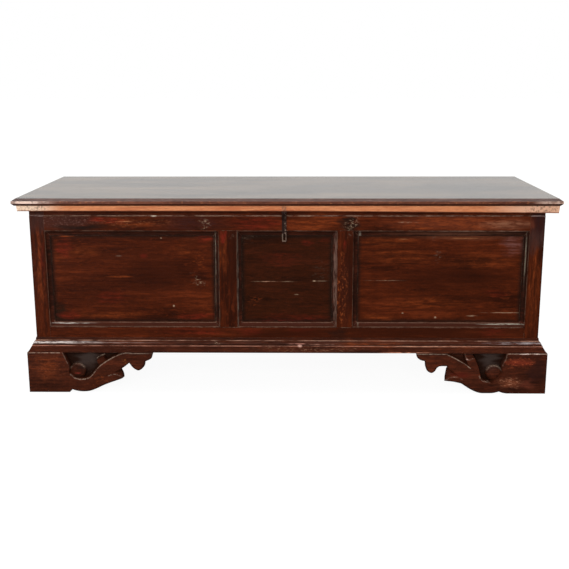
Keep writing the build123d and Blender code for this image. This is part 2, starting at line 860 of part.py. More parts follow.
with BuildPart() as hasp:
    with BuildSketch(Plane.YZ.offset(hasp_offset)):
        with BuildLine():
            Polyline(
                (hasp_y - half_thick, hasp_z),
                (hasp_y - half_thick, neck_foot),
                (blade_y - half_thick, crank_foot),
                (blade_y - half_thick, blade_foot),
                (blade_y + half_thick, blade_foot),
                (blade_y + half_thick, crank_foot + crank_shift),
                (hasp_y + half_thick, neck_foot + crank_shift),
                (hasp_y + half_thick, hasp_z),
                close=True,
            )
        make_face()
    extrude(amount=hasp_half, both=True)
    for end in (-1, 1):
        beside = sorted((hasp_offset + end * hasp_middle_half, hasp_offset + end * hasp_width))
        upright = (neck_foot, hasp_z + hasp_thickness)
        bar(beside, (hasp_y - hasp_thickness, blade_y), upright, Mode.SUBTRACT)
    fillet(hasp.edges().filter_by(Axis.Y).group_by(Axis.Z)[0], hasp_end_radius)
    with BuildSketch(Plane(origin=(hasp_offset, blade_y, slot_z), x_dir=(1, 0, 0), z_dir=(0, -1, 0))):
        RectangleRounded(hasp_slot_width, hasp_slot_height, hasp_slot_radius)
    extrude(amount=hasp_thickness, both=True, mode=Mode.SUBTRACT)
    hasp_barrel(0, hasp_knuckle_radius, hasp_middle_knuckle)
    hasp_barrel(0, hasp_bore_radius, 2 * hasp_width, Mode.SUBTRACT)
save(hasp.part, "hasp")
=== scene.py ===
import math

import bmesh
import bpy
import numpy as np
from mathutils import Matrix, Vector, geometry, noise


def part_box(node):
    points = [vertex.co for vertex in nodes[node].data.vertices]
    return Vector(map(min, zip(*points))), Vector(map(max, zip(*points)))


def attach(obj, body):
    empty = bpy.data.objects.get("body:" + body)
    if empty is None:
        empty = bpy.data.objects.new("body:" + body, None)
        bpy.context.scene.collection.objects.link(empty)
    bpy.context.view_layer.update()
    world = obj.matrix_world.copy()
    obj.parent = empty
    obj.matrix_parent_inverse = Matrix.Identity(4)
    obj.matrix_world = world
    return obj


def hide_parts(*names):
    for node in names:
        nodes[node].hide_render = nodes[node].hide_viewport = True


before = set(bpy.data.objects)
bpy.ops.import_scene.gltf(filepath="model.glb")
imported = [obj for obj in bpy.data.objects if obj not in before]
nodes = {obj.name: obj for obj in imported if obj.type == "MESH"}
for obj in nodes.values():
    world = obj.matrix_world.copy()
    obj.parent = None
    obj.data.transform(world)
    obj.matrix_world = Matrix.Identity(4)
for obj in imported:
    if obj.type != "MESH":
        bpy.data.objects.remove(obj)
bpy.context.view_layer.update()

# The looks of a panelled walnut chest (cassone): its camera, light, floor, finishes and carved feet.
# Metres where nothing else is said, +Z up, the front faces -Y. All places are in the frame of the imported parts.

MM = 0.001
WELD_DISTANCE = 1e-5

# ------------------------------------------------------------------------------------ camera and light

CAMERA_PLACE = (0.0394, -3.07405, 1.0066)
CAMERA_PITCH = 0.2296
CAMERA_YAW = 0.016
CAMERA_ROLL = -0.002
CAMERA_LENS = 57.916

# The place of each lamp, the point that it faces, its width, height and power
LAMPS = {
    "key_light": ((-0.6, -4.6, 1.9), (0, 0, 0.35), 4.2, 1.8, 195),
    "left_overhead": ((-1.25, -0.15, 2.2), (-0.8, -0.2, 0.3), 0.7, 0.7, 30),
    "right_overhead": ((1.35, -0.15, 2.2), (0.9, -0.2, 0.3), 0.6, 0.6, 18),
    "rear_light": ((0.6, 3.6, 2.6), (0, 0, 0.3), 3.2, 1.6, 90),
}

# The sky in diffuse light and in reflections, where it turns from its dim front half to its bright back
SKY_DIFFUSE = 0.5
SKY_GLOSS = (0.05, 1.0)
SKY_TURN = (-0.25, 0.45)

# The floor: its white near the chest and where that has cleared, its share of shadow, and how much light it
# throws back on the right and on the left of where it brightens
FLOOR_SIZE = 60.0
FLOOR_WHITE = (0.94, 1.0)
FLOOR_CLEARS = (1.6, 3.6)
FLOOR_SHADOW_SHARE = 0.09
FLOOR_BOUNCE = (0.1, 0.8)
FLOOR_BRIGHTENS = (-1.0, -1.7)


class Nodes:
    """Adds nodes to one node tree."""

    def __init__(self, tree):
        self.tree = tree

    def add(self, kind, sockets=(), **settings):
        """A new node with its settings, and its sockets set to values or linked."""
        made = self.tree.nodes.new(kind)
        for name, value in settings.items():
            setattr(made, name, value)
        for key, value in sockets:
            self.feed(made.inputs[key], value)
        return made

    def feed(self, socket, value):
        """Link a socket to another, or set its value."""
        if isinstance(value, bpy.types.NodeSocket):
            self.tree.links.new(value, socket)
        elif socket.type == "RGBA" and len(value) == 3:
            socket.default_value = (*value, 1)
        else:
            socket.default_value = value

    def ramp(self, value, start, end, low=0.0, high=1.0):
        """A smooth change from low, where the value is at the start, to high at the end."""
        ends = (("Value", value), ("From Min", start), ("From Max", end), ("To Min", low), ("To Max", high))
        return self.add("ShaderNodeMapRange", ends, interpolation_type="SMOOTHSTEP").outputs[0]


def new_object(name, data):
    """A new object in the scene."""
    made = bpy.data.objects.new(name, data)
    bpy.context.scene.collection.objects.link(made)
    return made


def make_camera():
    """The camera at the photograph's place and angle."""
    data = bpy.data.cameras.new("camera")
    data.lens = CAMERA_LENS
    camera = new_object("camera", data)
    tilt = Matrix.Rotation(math.pi / 2 - CAMERA_PITCH, 4, "X")
    turn = Matrix.Rotation(CAMERA_YAW, 4, "Z")
    roll = Matrix.Rotation(CAMERA_ROLL, 4, "Z")
    camera.matrix_world = Matrix.Translation(CAMERA_PLACE) @ turn @ tilt @ roll
    bpy.context.scene.camera = camera


def make_lamp(name, place, target, width, height, power):
    """A soft rectangular lamp that faces a target and has no reflection of its own."""
    data = bpy.data.lights.new(name, "AREA")
    data.shape = "RECTANGLE"
    data.size = width
    data.size_y = height
    data.energy = power
    lamp = new_object(name, data)
    lamp.visible_glossy = False
    lamp.location = place
    lamp.rotation_mode = "QUATERNION"
    lamp.rotation_quaternion = (Vector(target) - Vector(place)).to_track_quat("-Z", "Y")


def make_world():
    """A studio that is white to the camera, and whose front half reflects as a dim room."""
    world = bpy.data.worlds.new("studio")
    world.use_nodes = True
    bpy.context.scene.world = world
    sky = Nodes(world.node_tree)
    rays = sky.add("ShaderNodeLightPath").outputs
    direction = sky.add("ShaderNodeTexCoord").outputs["Generated"]
    back = sky.add("ShaderNodeSeparateXYZ", ((0, direction),)).outputs["Y"]
    gloss = sky.ramp(back, *SKY_TURN, *SKY_GLOSS)
    strength = SKY_DIFFUSE
    for ray, value in (("Is Glossy Ray", gloss), ("Is Transmission Ray", 1.0), ("Is Camera Ray", 1.0)):
        sockets = (("Factor", rays[ray]), ("A", strength), ("B", value))
        strength = sky.add("ShaderNodeMix", sockets).outputs["Result"]
    background = world.node_tree.nodes["Background"]
    sky.feed(background.inputs["Strength"], strength)
    sky.feed(background.inputs["Color"], (1, 1, 1))


def make_floor():
    """A pale floor that keeps the chest's soft shadow, and a dim studio floor to all but the camera."""
    half = FLOOR_SIZE / 2
    mesh = bpy.data.meshes.new("floor")
    mesh.from_pydata([(-half, -half, 0), (half, -half, 0), (half, half, 0), (-half, half, 0)], [], [(0, 1, 2, 3)])
    floor = new_object("floor", mesh)
    material = bpy.data.materials.new("floor_paper")
    material.use_nodes = True
    material.node_tree.nodes.clear()
    paper = Nodes(material.node_tree)
    place = paper.add("ShaderNodeTexCoord").outputs["Object"]
    across = paper.add("ShaderNodeSeparateXYZ", ((0, place),)).outputs["X"]
    away = paper.add("ShaderNodeVectorMath", ((0, place),), operation="LENGTH").outputs["Value"]
    white = paper.add("ShaderNodeEmission", (("Strength", paper.ramp(away, *FLOOR_CLEARS, *FLOOR_WHITE)),))
    shaded = paper.add("ShaderNodeBsdfDiffuse", (("Color", (FLOOR_SHADOW_SHARE,) * 3),))
    seen = paper.add("ShaderNodeAddShader", ((0, white.outputs[0]), (1, shaded.outputs[0])))
    grey = paper.ramp(across, *FLOOR_BRIGHTENS, *FLOOR_BOUNCE)
    bounce = paper.add("ShaderNodeBsdfDiffuse", (("Color", grey),))
    camera_ray = paper.add("ShaderNodeLightPath").outputs["Is Camera Ray"]
    choice = paper.add("ShaderNodeMixShader", ((0, camera_ray), (1, bounce.outputs[0]), (2, seen.outputs[0])))
    paper.add("ShaderNodeOutputMaterial", (("Surface", choice.outputs[0]),))
    mesh.materials.append(material)


bpy.context.scene.view_settings.view_transform = "Standard"
make_camera()
for name, lamp in LAMPS.items():
    make_lamp(name, *lamp)
make_world()
make_floor()

# ------------------------------------------------------------------------------------------ materials


def tone(red, green, blue):
    """A colour given as 0-255 display values, in linear light."""
    return tuple(((c / 255 + 0.055) / 1.055) ** 2.4 if c > 10 else c / 255 / 12.92 for c in (red, green, blue))


def stretch(grain, along, across):
    """Noise cycles per metre along the grain and across it, as the scales of the three axes."""
    return tuple(along if axis == grain else across for axis in "XYZ")


# How much of a soft spot's radius and of a line's half width is at full strength, and the noise of broken wear
SPOT_CORE = 0.25
LINE_CORE = 0.4
BROKEN = {"detail": 5.0, "rough": 0.75}


class Paint(Nodes):
    """Builds one material. Places are metres in the frame of the chest at rest."""

    def __init__(self, name, roughness, specular, metallic=0.0):
        self.material = bpy.data.materials.new(name)
        self.material.use_nodes = True
        super().__init__(self.material.node_tree)
        self.shader = self.tree.nodes["Principled BSDF"]
        self.shader.inputs["Roughness"].default_value = roughness
        self.shader.inputs["Specular IOR Level"].default_value = specular
        self.shader.inputs["Metallic"].default_value = metallic
        self.place = self.add("ShaderNodeTexCoord").outputs["Object"]
        self.axes = self.add("ShaderNodeSeparateXYZ", ((0, self.place),)).outputs

    def calc(self, operation, a, b=0.0):
        """One arithmetic step."""
        return self.add("ShaderNodeMath", ((0, a), (1, b)), operation=operation).outputs[0]

    def plus(self, a, b):
        """The sum of two values."""
        return self.calc("ADD", a, b)

    def minus(self, a, b):
        """The difference of two values."""
        return self.calc("SUBTRACT", a, b)

    def times(self, value, *others):
        """The product of some values."""
        for other in others:
            value = self.calc("MULTIPLY", value, other)
        return value

    def least(self, value, *others):
        """The least of some values."""
        for other in others:
            value = self.calc("MINIMUM", value, other)
        return value

    def between(self, value, low, high):
        """A straight-line map from 0..1 to low..high."""
        return self.add("ShaderNodeMapRange", (("Value", value), ("To Min", low), ("To Max", high))).outputs[0]

    def vector(self, operation, a, b=(0, 0, 0)):
        """One step of vector arithmetic."""
        made = self.add("ShaderNodeVectorMath", ((0, a), (1, b)), operation=operation)
        return made.outputs["Value" if operation == "LENGTH" else "Vector"]

    def noise(self, scale, shift=0.0, detail=3.0, rough=0.55, warp=0.0):
        """A noise with its cycles per metre, for all axes or for each."""
        scale = scale if isinstance(scale, tuple) else (scale,) * 3
        spread = self.add("ShaderNodeMapping", (("Vector", self.place), ("Scale", scale)))
        spread.inputs["Location"].default_value = (shift, shift * 1.7, -shift * 0.6)
        sockets = (("Vector", spread.outputs[0]), ("Scale", 1.0), ("Detail", detail), ("Roughness", rough),
                   ("Distortion", warp))
        return self.add("ShaderNodeTexNoise", sockets).outputs[0]

    def patches(self, scale, shift, low, high, **looks):
        """Soft-edged patches where a noise rises past a level: 0 below low and 1 above high."""
        return self.ramp(self.noise(scale, shift, **looks), low, high)

    def mix(self, share, a, b):
        """One colour laid over another by a share. A plain colour is given as 0-255 display values."""
        a, b = (tone(*colour) if isinstance(colour, tuple) else colour for colour in (a, b))
        return self.add("ShaderNodeMix", ((0, share), (6, a), (7, b)), data_type="RGBA").outputs[2]

    def lay(self, colour, shade, *shares):
        """A shade laid over a colour by the product of some shares."""
        return self.mix(self.times(*shares), colour, shade)

    def shaken(self, scale, reach, shift):
        """The places, pushed about by a noise so that what is drawn with them has a ragged edge."""
        spread = self.add("ShaderNodeMapping", (("Vector", self.place), ("Scale", scale)))
        spread.inputs["Location"].default_value = (shift, shift, shift)
        made = self.add("ShaderNodeTexNoise", (("Vector", spread.outputs[0]), ("Scale", 1.0), ("Detail", 4.0)))
        push = self.vector("SUBTRACT", made.outputs["Color"], (0.5, 0.5, 0.5))
        return self.vector("ADD", self.place, self.vector("MULTIPLY", push, reach))

    def spot(self, centre, radii, place=None):
        """A soft spot: 1 at its centre and 0 past its radii. A radius of 0 leaves that axis out."""
        offset = self.vector("SUBTRACT", place or self.place, centre)
        share = self.vector("MULTIPLY", offset, tuple(1 / r if r else 0 for r in radii))
        return self.ramp(self.vector("LENGTH", share), 1.0, SPOT_CORE)

    def line(self, value, place, half_width):
        """A soft line: 1 where the value is at the place and 0 past the half width."""
        return self.ramp(self.calc("ABSOLUTE", self.minus(value, place)), half_width, LINE_CORE * half_width)

    def attribute(self, name):
        """A number that the mesh itself carries at each point."""
        return self.add("ShaderNodeAttribute", attribute_name=name).outputs["Fac"]

    def finish(self, colour, height, depth, roughness=None):
        """Feed the shader its colour, bump and, where it varies, roughness."""
        self.feed(self.shader.inputs["Base Color"], colour)
        if roughness is not None:
            self.feed(self.shader.inputs["Roughness"], roughness)
        bump = self.add("ShaderNodeBump", (("Strength", 1.0), ("Distance", depth), ("Height", height)))
        self.feed(self.shader.inputs["Normal"], bump.outputs[0])
        return self.material


# Display values of stained walnut from its darkest streaks to its reddest, of wear, of soot and painted shade, and
# of bare wood
BLACK = (0, 0, 0)
DARK = (45, 16, 6)
MIDDLE = (72, 27, 9)
LIGHT = (100, 41, 17)
PLUM = (44, 25, 25)
RED = (116, 30, 20)
ORANGE = (136, 62, 26)
SOOT_AND_SHADE = (22, 17, 13)
PALE = (168, 142, 116)
GREY = (116, 98, 84)
RAW = ((98, 66, 44), (122, 84, 57), (142, 102, 72))

# The faces that look into the chest, and how far outside them the bare wood begins
inner_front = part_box("front_top_rail")[1].y
inner_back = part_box("back_top_board")[0].y
inner_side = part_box("right_front_stile")[0].x
INNER_SKIN = 0.0008

# The depth of the relief of waxed, polished and bare wood
WAX_RELIEF = 0.0007
POLISH_RELIEF = 0.0001
RAW_RELIEF = 0.001


class Wood(Paint):
    """Walnut with its figure drawn along the grain."""

    def __init__(self, name, grain, shift, roughness, specular):
        super().__init__(name, roughness[0], specular)
        self.grain = grain
        self.shift = shift
        self.gloss = roughness
        self.cloud = self.noise(stretch(grain, 2.6, 13.0), shift, detail=3.0, warp=0.7)
        self.streak = self.noise(stretch(grain, 8.0, 120.0), shift + 3.1, detail=4.0, rough=0.62, warp=0.3)
        self.fine = self.noise(stretch(grain, 40.0, 620.0), shift + 7.7, detail=2.0)
        self.pores = self.patches(stretch(grain, 75.0, 1700.0), shift + 11.3, 0.60, 0.72, detail=1.0)
        self.mottle = self.noise(stretch(grain, 38.0, 150.0), shift + 6.3, detail=5.0, rough=0.75, warp=0.4)
        self.ragged = self.shaken(stretch(grain, 14.0, 60.0), stretch(grain, 0.09, 0.022), shift)

    def figure(self, dark, middle, light):
        """The colour of the wood, from its clouds, streaks, fine grain and pores."""
        share = self.plus(self.times(self.cloud, 0.5), self.times(self.streak, 0.5))
        colour = self.mix(self.ramp(share, 0.36, 0.52), dark, middle)
        colour = self.mix(self.ramp(share, 0.52, 0.66), colour, light)
        colour = self.mix(self.ramp(self.fine, 0.35, 0.6, 0.35, 0.0), colour, dark)
        colour = self.mix(self.ramp(self.mottle, 0.52, 0.66, 0.0, 0.5), colour, light)
        colour = self.mix(self.ramp(self.mottle, 0.36, 0.48, 0.45, 0.0), colour, dark)
        return self.lay(colour, self.mix(0.7, dark, BLACK), self.pores, 0.45)

    def wear_and_light_mark(self, colour, kind, x, z, reach_x, reach_z, shade, share):
        """One mark on the front, placed in millimetres: most are wear, stains and dirt, and some are painted
        highlights and shade.

        A stain follows the streaks of the grain, a smudge covers them and flakes are scattered specks, all
        with ragged edges. A line is a thin broken scratch, a worn arris or a painted highlight, and a nick is a
        small clean spot, a few of them painted highlights."""
        x, z, reach_x, reach_z = (MM * length for length in (x, z, reach_x, reach_z))
        drawn_on = self.place if kind in ("line", "nick") else self.ragged
        where = self.spot((x, 0, z), (reach_x, 0, reach_z), drawn_on)
        if kind == "stain":
            streaks = self.times(self.ramp(self.streak, 0.36, 0.62), self.ramp(self.mottle, 0.36, 0.62))
            broken = self.between(streaks, 0.12, 1.0)
        elif kind == "smudge":
            broken = self.ramp(self.mottle, 0.36, 0.60, 0.6, 1.0)
        elif kind == "line":
            scale = (34, 34, 300) if reach_x > reach_z else (300, 300, 34)
            broken = self.patches(scale, self.shift + x, 0.38, 0.60, detail=4.0, rough=0.7)
        elif kind == "flakes":
            broken = self.patches(stretch(self.grain, 100, 230), self.shift + x, 0.53, 0.64, **BROKEN)
        else:
            broken = self.patches(420, x, 0.25, 0.5, detail=2.0)
        return self.lay(colour, shade, where, broken, share)

    def worn(self, colour, shade, share, scale=42.0, low=0.46, high=0.62):
        """Patches where the finish is rubbed away."""
        patches = self.patches(scale, self.shift + 5.2, low, high, detail=4.0, rough=0.7)
        return self.lay(colour, shade, patches, share)

    def raw_inside(self, colour, name):
        """The bare wood of the faces that look into the chest."""
        side, front = inner_side, inner_front
        if name.endswith("_panel"):
            low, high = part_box(name)
            if name.startswith("front"):
                front = high.y
            else:
                side = min(abs(low.x), abs(high.x))
        off_side = self.minus(side + INNER_SKIN, self.calc("ABSOLUTE", self.axes["X"]))
        off_front = self.minus(self.axes["Y"], front - INNER_SKIN)
        off_back = self.minus(inner_back + INNER_SKIN, self.axes["Y"])
        nearest = self.least(off_side, off_front, off_back)
        return self.mix(self.ramp(nearest, 0.0, INNER_SKIN / 2), colour, self.figure(*RAW))

    def done(self, colour, relief=WAX_RELIEF):
        """Finish the material with gloss that follows the streaks and a relief of grain and pores."""
        height = self.plus(self.times(self.fine, 0.45), self.times(self.cloud, 1.6))
        height = self.minus(height, self.times(self.pores, 0.4))
        return self.finish(colour, height, relief, self.between(self.streak, *self.gloss))


# Marks on the front, mostly of wear, stains and dirt and some of painted highlight and shade: kind, place along
# and up and reach along and up in millimetres, colour, strength
MARKS = {
    "front_top_rail": (
        ("stain", -300, 546, 170, 34, PLUM, 0.8),
        ("stain", -90, 546, 110, 34, RED, 0.5),
        ("stain", 90, 546, 120, 38, ORANGE, 0.6),
        ("smudge", 560, 546, 330, 34, (112, 56, 38), 0.45),
        ("stain", 560, 548, 300, 40, ORANGE, 0.6),
        ("line", 16, 567.2, 18, 1.8, (196, 124, 106), 0.9),
        ("smudge", -700, 550, 150, 34, (60, 35, 30), 0.75),
        ("flakes", -690, 550, 160, 26, (150, 112, 98), 0.35),
        ("smudge", -640, 532, 120, 10, SOOT_AND_SHADE, 0.9),
        ("stain", -480, 546, 170, 22, ORANGE, 0.5),
        ("stain", -550, 552, 90, 12, RED, 0.8),
        ("flakes", -470, 548, 170, 20, (160, 100, 66), 0.4),
        ("smudge", 185, 556, 34, 22, SOOT_AND_SHADE, 0.9),
        ("smudge", 208, 533, 36, 26, SOOT_AND_SHADE, 0.9),
        ("flakes", 205, 543, 24, 40, PALE, 0.75),
        ("flakes", -256, 543, 26, 24, PALE, 0.7),
        ("line", -503, 551, 34, 2.6, (170, 112, 72), 0.7),
        # The top rail's arris: worn, with a painted highlight along it
        ("line", 0, 568.8, 1800, 3, (158, 128, 110), 0.9),
        ("line", 377, 549, 38, 3.2, PALE, 0.7),
        ("line", 418, 529, 34, 3, ORANGE, 0.8),
        ("stain", 690, 543, 110, 20, PALE, 0.25),
        ("nick", -411, 568, 13, 3, (236, 222, 200), 0.9),
    ),
    "front_left_stile": (
        ("stain", -777, 415, 16, 160, ORANGE, 0.45),
        ("stain", -764, 430, 7, 90, RED, 0.7),
        ("smudge", -772, 556, 60, 46, (58, 34, 29), 0.85),
        # The arris line on the stile: worn, with a painted highlight along it
        ("line", -780, 568.8, 120, 3, (140, 118, 112), 0.9),
    ),
    "front_right_stile": (
        ("stain", 776, 350, 24, 180, ORANGE, 0.6),
        ("smudge", 786, 548, 42, 80, PLUM, 0.85),
        ("smudge", 760, 546, 18, 30, (92, 46, 32), 0.9),
        ("smudge", 774, 492, 50, 50, (62, 42, 38), 0.7),
        # The arris line on the stile: worn, with a painted highlight along it
        ("line", 780, 568.8, 120, 3, (140, 118, 112), 0.9),
    ),
    "front_left_panel": (
        ("stain", -700, 468, 34, 45, RED, 0.6),
        ("stain", -625, 455, 60, 22, ORANGE, 0.5),
        ("stain", -328, 456, 24, 20, ORANGE, 0.45),
        ("stain", -256, 494, 36, 18, RED, 0.65),
        ("smudge", -404, 382, 150, 80, DARK, 0.7),
        # Painted shade, with dirt, in the panel's lower left corner beside the moulding
        ("smudge", -727, 252, 30, 45, (24, 20, 12), 0.9),
        ("smudge", -560, 330, 260, 120, DARK, 0.3),
        ("smudge", -520, 452, 220, 50, DARK, 0.35),
        ("stain", -555, 307, 60, 30, RED, 0.45),
        ("stain", -690, 247, 50, 20, RED, 0.7),
        ("stain", -560, 248, 180, 12, ORANGE, 0.5),
        ("stain", -290, 244, 90, 14, RED, 0.6),
        ("line", -688, 503, 32, 3.5, ORANGE, 0.9),
        ("line", -527, 373, 55, 4.5, ORANGE, 0.75),
        ("flakes", -293, 372, 14, 24, PALE, 0.7),
        ("flakes", -266, 350, 26, 13, PALE, 0.7),
        ("flakes", -277, 425, 30, 45, ORANGE, 0.55),
        ("nick", -527, 440, 14, 3.5, GREY, 0.35),
        ("nick", -448, 440, 16, 10, RED, 0.35),
        ("nick", -392, 497, 4, 3.4, PALE, 0.45),
        ("nick", -358, 278, 4.4, 5, PALE, 0.85),
    ),
    "front_middle_panel": (
        ("stain", 61, 482, 32, 10, RED, 0.7),
        ("stain", 117, 490, 30, 11, RED, 0.45),
        ("stain", -20, 430, 90, 40, RED, 0.16),
        ("stain", 20, 236, 170, 22, RED, 0.35),
        ("flakes", -97, 297, 34, 26, ORANGE, 0.6),
        ("flakes", -125, 497, 40, 20, GREY, 0.6),
        ("flakes", 110, 385, 40, 60, (70, 60, 50), 0.6),
        ("line", -89, 358, 30, 1.8, PALE, 0.35),
        ("line", -52, 358, 36, 1.8, (196, 150, 122), 0.7),
        ("line", 4, 358, 36, 1.8, PALE, 0.45),
        ("nick", 88, 360, 7, 2.8, PALE, 0.8),
        ("line", 113, 360, 34, 1.8, PALE, 0.4),
        ("nick", 32, 316, 10, 2.2, PALE, 0.5),
    ),
    "front_right_panel": (
        ("stain", 320, 489, 110, 22, ORANGE, 0.5),
        ("smudge", 560, 499, 230, 11, (104, 54, 34), 0.6),
        ("stain", 350, 438, 170, 32, ORANGE, 0.35),
        ("stain", 610, 425, 150, 36, ORANGE, 0.35),
        ("smudge", 530, 370, 260, 55, DARK, 0.75),
        ("stain", 453, 286, 160, 22, ORANGE, 0.45),
        ("stain", 292, 241, 70, 14, ORANGE, 0.6),
        ("stain", 664, 322, 45, 20, RED, 0.5),
        ("stain", 706, 478, 45, 45, (112, 82, 80), 0.6),
        ("line", 552, 497, 80, 3.4, (136, 86, 54), 0.8),
        ("line", 365, 494, 22, 3, (156, 100, 64), 0.7),
        ("line", 310, 362, 80, 1.6, PALE, 0.45),
        ("line", 684, 258, 85, 2.2, PALE, 0.6),
        ("flakes", 463, 500, 12, 14, GREY, 0.7),
        ("flakes", 471, 437, 14, 28, GREY, 0.6),
        ("nick", 369, 256, 4.6, 3, PALE, 0.6),
        ("nick", 473, 242, 5.4, 4, PALE, 0.75),
        ("line", 590, 247, 24, 3.4, PALE, 0.55),
    ),
    "front_left_muntin": (
        ("stain", -196, 500, 18, 30, RED, 0.75),
        ("stain", -196, 440, 16, 65, ORANGE, 0.45),
        ("smudge", -169, 420, 18, 170, DARK, 0.8),
        ("flakes", -172, 505, 10, 16, GREY, 0.8),
    ),
    "front_right_muntin": (
        ("smudge", 200, 390, 18, 220, DARK, 0.85),
        ("stain", 186, 330, 13, 100, ORANGE, 0.35),
        ("smudge", 186, 330, 26, 150, (44, 18, 11), 0.85),
        ("stain", 183, 482, 9, 28, RED, 0.8),
        ("flakes", 173, 325, 25, 190, (144, 72, 36), 0.95),
        ("flakes", 200, 510, 14, 16, GREY, 0.7),
    ),
    "front_bottom_rail": (
        ("stain", -120, 196, 60, 18, RED, 0.45),
        ("stain", 56, 198, 60, 16, RED, 0.45),
        ("stain", -310, 197, 150, 16, RED, 0.45),
        ("smudge", 330, 190, 620, 60, DARK, 0.75),
        ("smudge", 165, 190, 40, 30, SOOT_AND_SHADE, 0.5),
        ("smudge", -20, 186, 200, 20, DARK, 0.6),
        ("stain", 650, 194, 60, 20, RED, 0.45),
    ),
    "front_left_moulding": (
        # Painted highlights: the right member's slope faces the left-hand light
        ("line", -221.5, 455, 2.6, 130, (122, 114, 100), 0.75),
        ("line", -223, 310, 2.6, 150, (96, 76, 64), 0.6),
        # Painted highlight along the top of the upward-facing sill
        ("line", -700, 221.5, 110, 3.4, (190, 180, 170), 0.9),
        ("line", -759.5, 440, 2.6, 150, (90, 84, 84), 0.7),
    ),
    "front_middle_moulding": (
        ("line", -152.5, 370, 3, 260, (118, 106, 96), 0.9),
        # Painted highlight: the right member's slope faces the left-hand light
        ("line", 157, 370, 13, 260, (126, 96, 84), 0.85),
    ),
    "front_right_moulding": (
        ("line", 227.5, 364, 3.5, 260, (118, 108, 94), 1.0),
        ("line", 746.5, 445, 2.8, 140, (112, 102, 88), 0.9),
        # Painted highlight along the top of the upward-facing sill
        ("line", 689, 221, 110, 3.4, (176, 168, 152), 0.9),
        ("line", 229, 497, 7, 40, (120, 110, 98), 0.8),
        ("smudge", 520, 514.5, 280, 10, (88, 54, 40), 0.6),
        ("line", 590, 521.2, 240, 2.4, (158, 126, 108), 0.8),
    ),
    "base_front_moulding": (
        # Painted highlights: a pale sheen along the ovolo near both ends, strongest at the left
        ("line", -730, 161.8, 180, 4.8, (222, 212, 206), 1.0),
        ("line", -600, 161.2, 240, 3.4, (150, 128, 120), 0.6),
        ("line", 740, 161.8, 150, 5, (150, 140, 140), 1.0),
        ("line", 480, 152.2, 340, 2.4, (190, 138, 112), 1.0),
        ("line", 380, 134.5, 110, 2, (200, 136, 108), 1.0),
        ("stain", 265, 160, 120, 14, ORANGE, 0.9),
        ("smudge", 600, 143, 260, 16, (46, 20, 12), 0.55),
        ("smudge", -560, 143, 330, 16, (44, 18, 10), 0.6),
        ("stain", 560, 143, 160, 14, ORANGE, 0.5),
        ("flakes", 60, 144, 260, 12, (150, 110, 84), 0.5),
        ("nick", 43, 153, 10, 5, (206, 160, 144), 1.0),
        ("line", 40, 159, 45, 2.2, (176, 120, 104), 1.0),
        ("line", 120, 157, 70, 2, (176, 128, 110), 1.0),
        ("flakes", -222, 163, 20, 8, PALE, 1.0),
    ),
    "front_left_foot_scroll": (
        ("stain", -763, 85, 60, 60, ORANGE, 0.45),
        ("flakes", -755, 85, 80, 60, (134, 70, 44), 0.5),
        ("flakes", -600, 40, 60, 30, ORANGE, 0.5),
        ("smudge", -666, 82, 20, 9, (34, 16, 10), 0.9),
        ("smudge", -666, 53, 22, 7, (34, 16, 10), 0.9),
        # Painted highlight: a red glint across the domed boss
        ("nick", -668, 63, 15, 2.6, (140, 46, 38), 0.8),
        ("flakes", -525, 105, 16, 14, (150, 96, 40), 0.7),
    ),
    "front_right_foot_scroll": (
        ("smudge", 740, 104, 50, 18, (120, 46, 28), 0.8),
        ("flakes", 740, 104, 60, 24, (176, 84, 50), 0.8),
        ("smudge", 714, 35, 60, 21, (118, 62, 40), 0.9),
        ("flakes", 712, 37, 62, 24, (188, 128, 98), 0.65),
        ("smudge", 796, 74, 40, 50, (44, 22, 18), 0.7),
        ("smudge", 560, 62, 40, 14, (84, 22, 14), 0.6),
        ("smudge", 775, 32, 34, 24, (104, 50, 34), 0.6),
        # Painted highlight along the top edge of the block
        ("line", 770, 131.8, 60, 2.4, (214, 190, 180), 1.0),
        ("line", 551, 40, 2.2, 13, (22, 11, 8), 1.0),
        ("nick", 573, 113.5, 5, 3, (190, 150, 140), 0.9),
    ),
}

# The finish of each material slot: dark, middle and light wood, roughness from glossy to dull, and gloss
FINISHES = {
    "frame_walnut": (DARK, MIDDLE, LIGHT, (0.36, 0.52), 0.1),
    "panel_walnut": (DARK, MIDDLE, LIGHT, (0.34, 0.50), 0.1),
    "moulding_walnut": ((28, 13, 8), (44, 20, 12), (72, 32, 19), (0.30, 0.46), 0.1),
    "base_walnut": ((42, 17, 8), (68, 28, 13), (96, 44, 22), (0.26, 0.42), 0.2),
}
MIDDLE_PANEL_FINISH = ((34, 14, 6), (53, 22, 8), (70, 28, 12), (0.34, 0.50), 0.1)

# In from the outer edge: a panel's dark rim of painted shade with dirt, a moulding's rubbed outer line and its
# inner line of painted shade, and the pale lines of painted highlight with wear along its sill (place and half
# width). Each range runs from nothing to full strength.
PANEL_RIM = (0.0395, 0.0255)
OUTER_LINE = (0.0028, 0.0014)
INNER_SHADE = (0.0140, 0.0160)
SILL_SHEEN_AND_WEAR_LINES = ((0.0140, 0.0010), (0.0022, 0.0010))
SILL_HEIGHT = (0.018, 0.020)


def off_rim(wood, name):
    """How far a point lies inside the outer edge of a wall's panel or moulding, and above its foot."""
    low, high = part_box(name)
    along = 0 if name.startswith("front") else 1
    off_start = wood.minus(wood.axes[along], low[along])
    off_end = wood.minus(high[along], wood.axes[along])
    off_foot = wood.minus(wood.axes["Z"], low.z)
    off_head = wood.minus(high.z, wood.axes["Z"])
    return wood.least(off_start, off_end, off_foot, off_head), off_foot


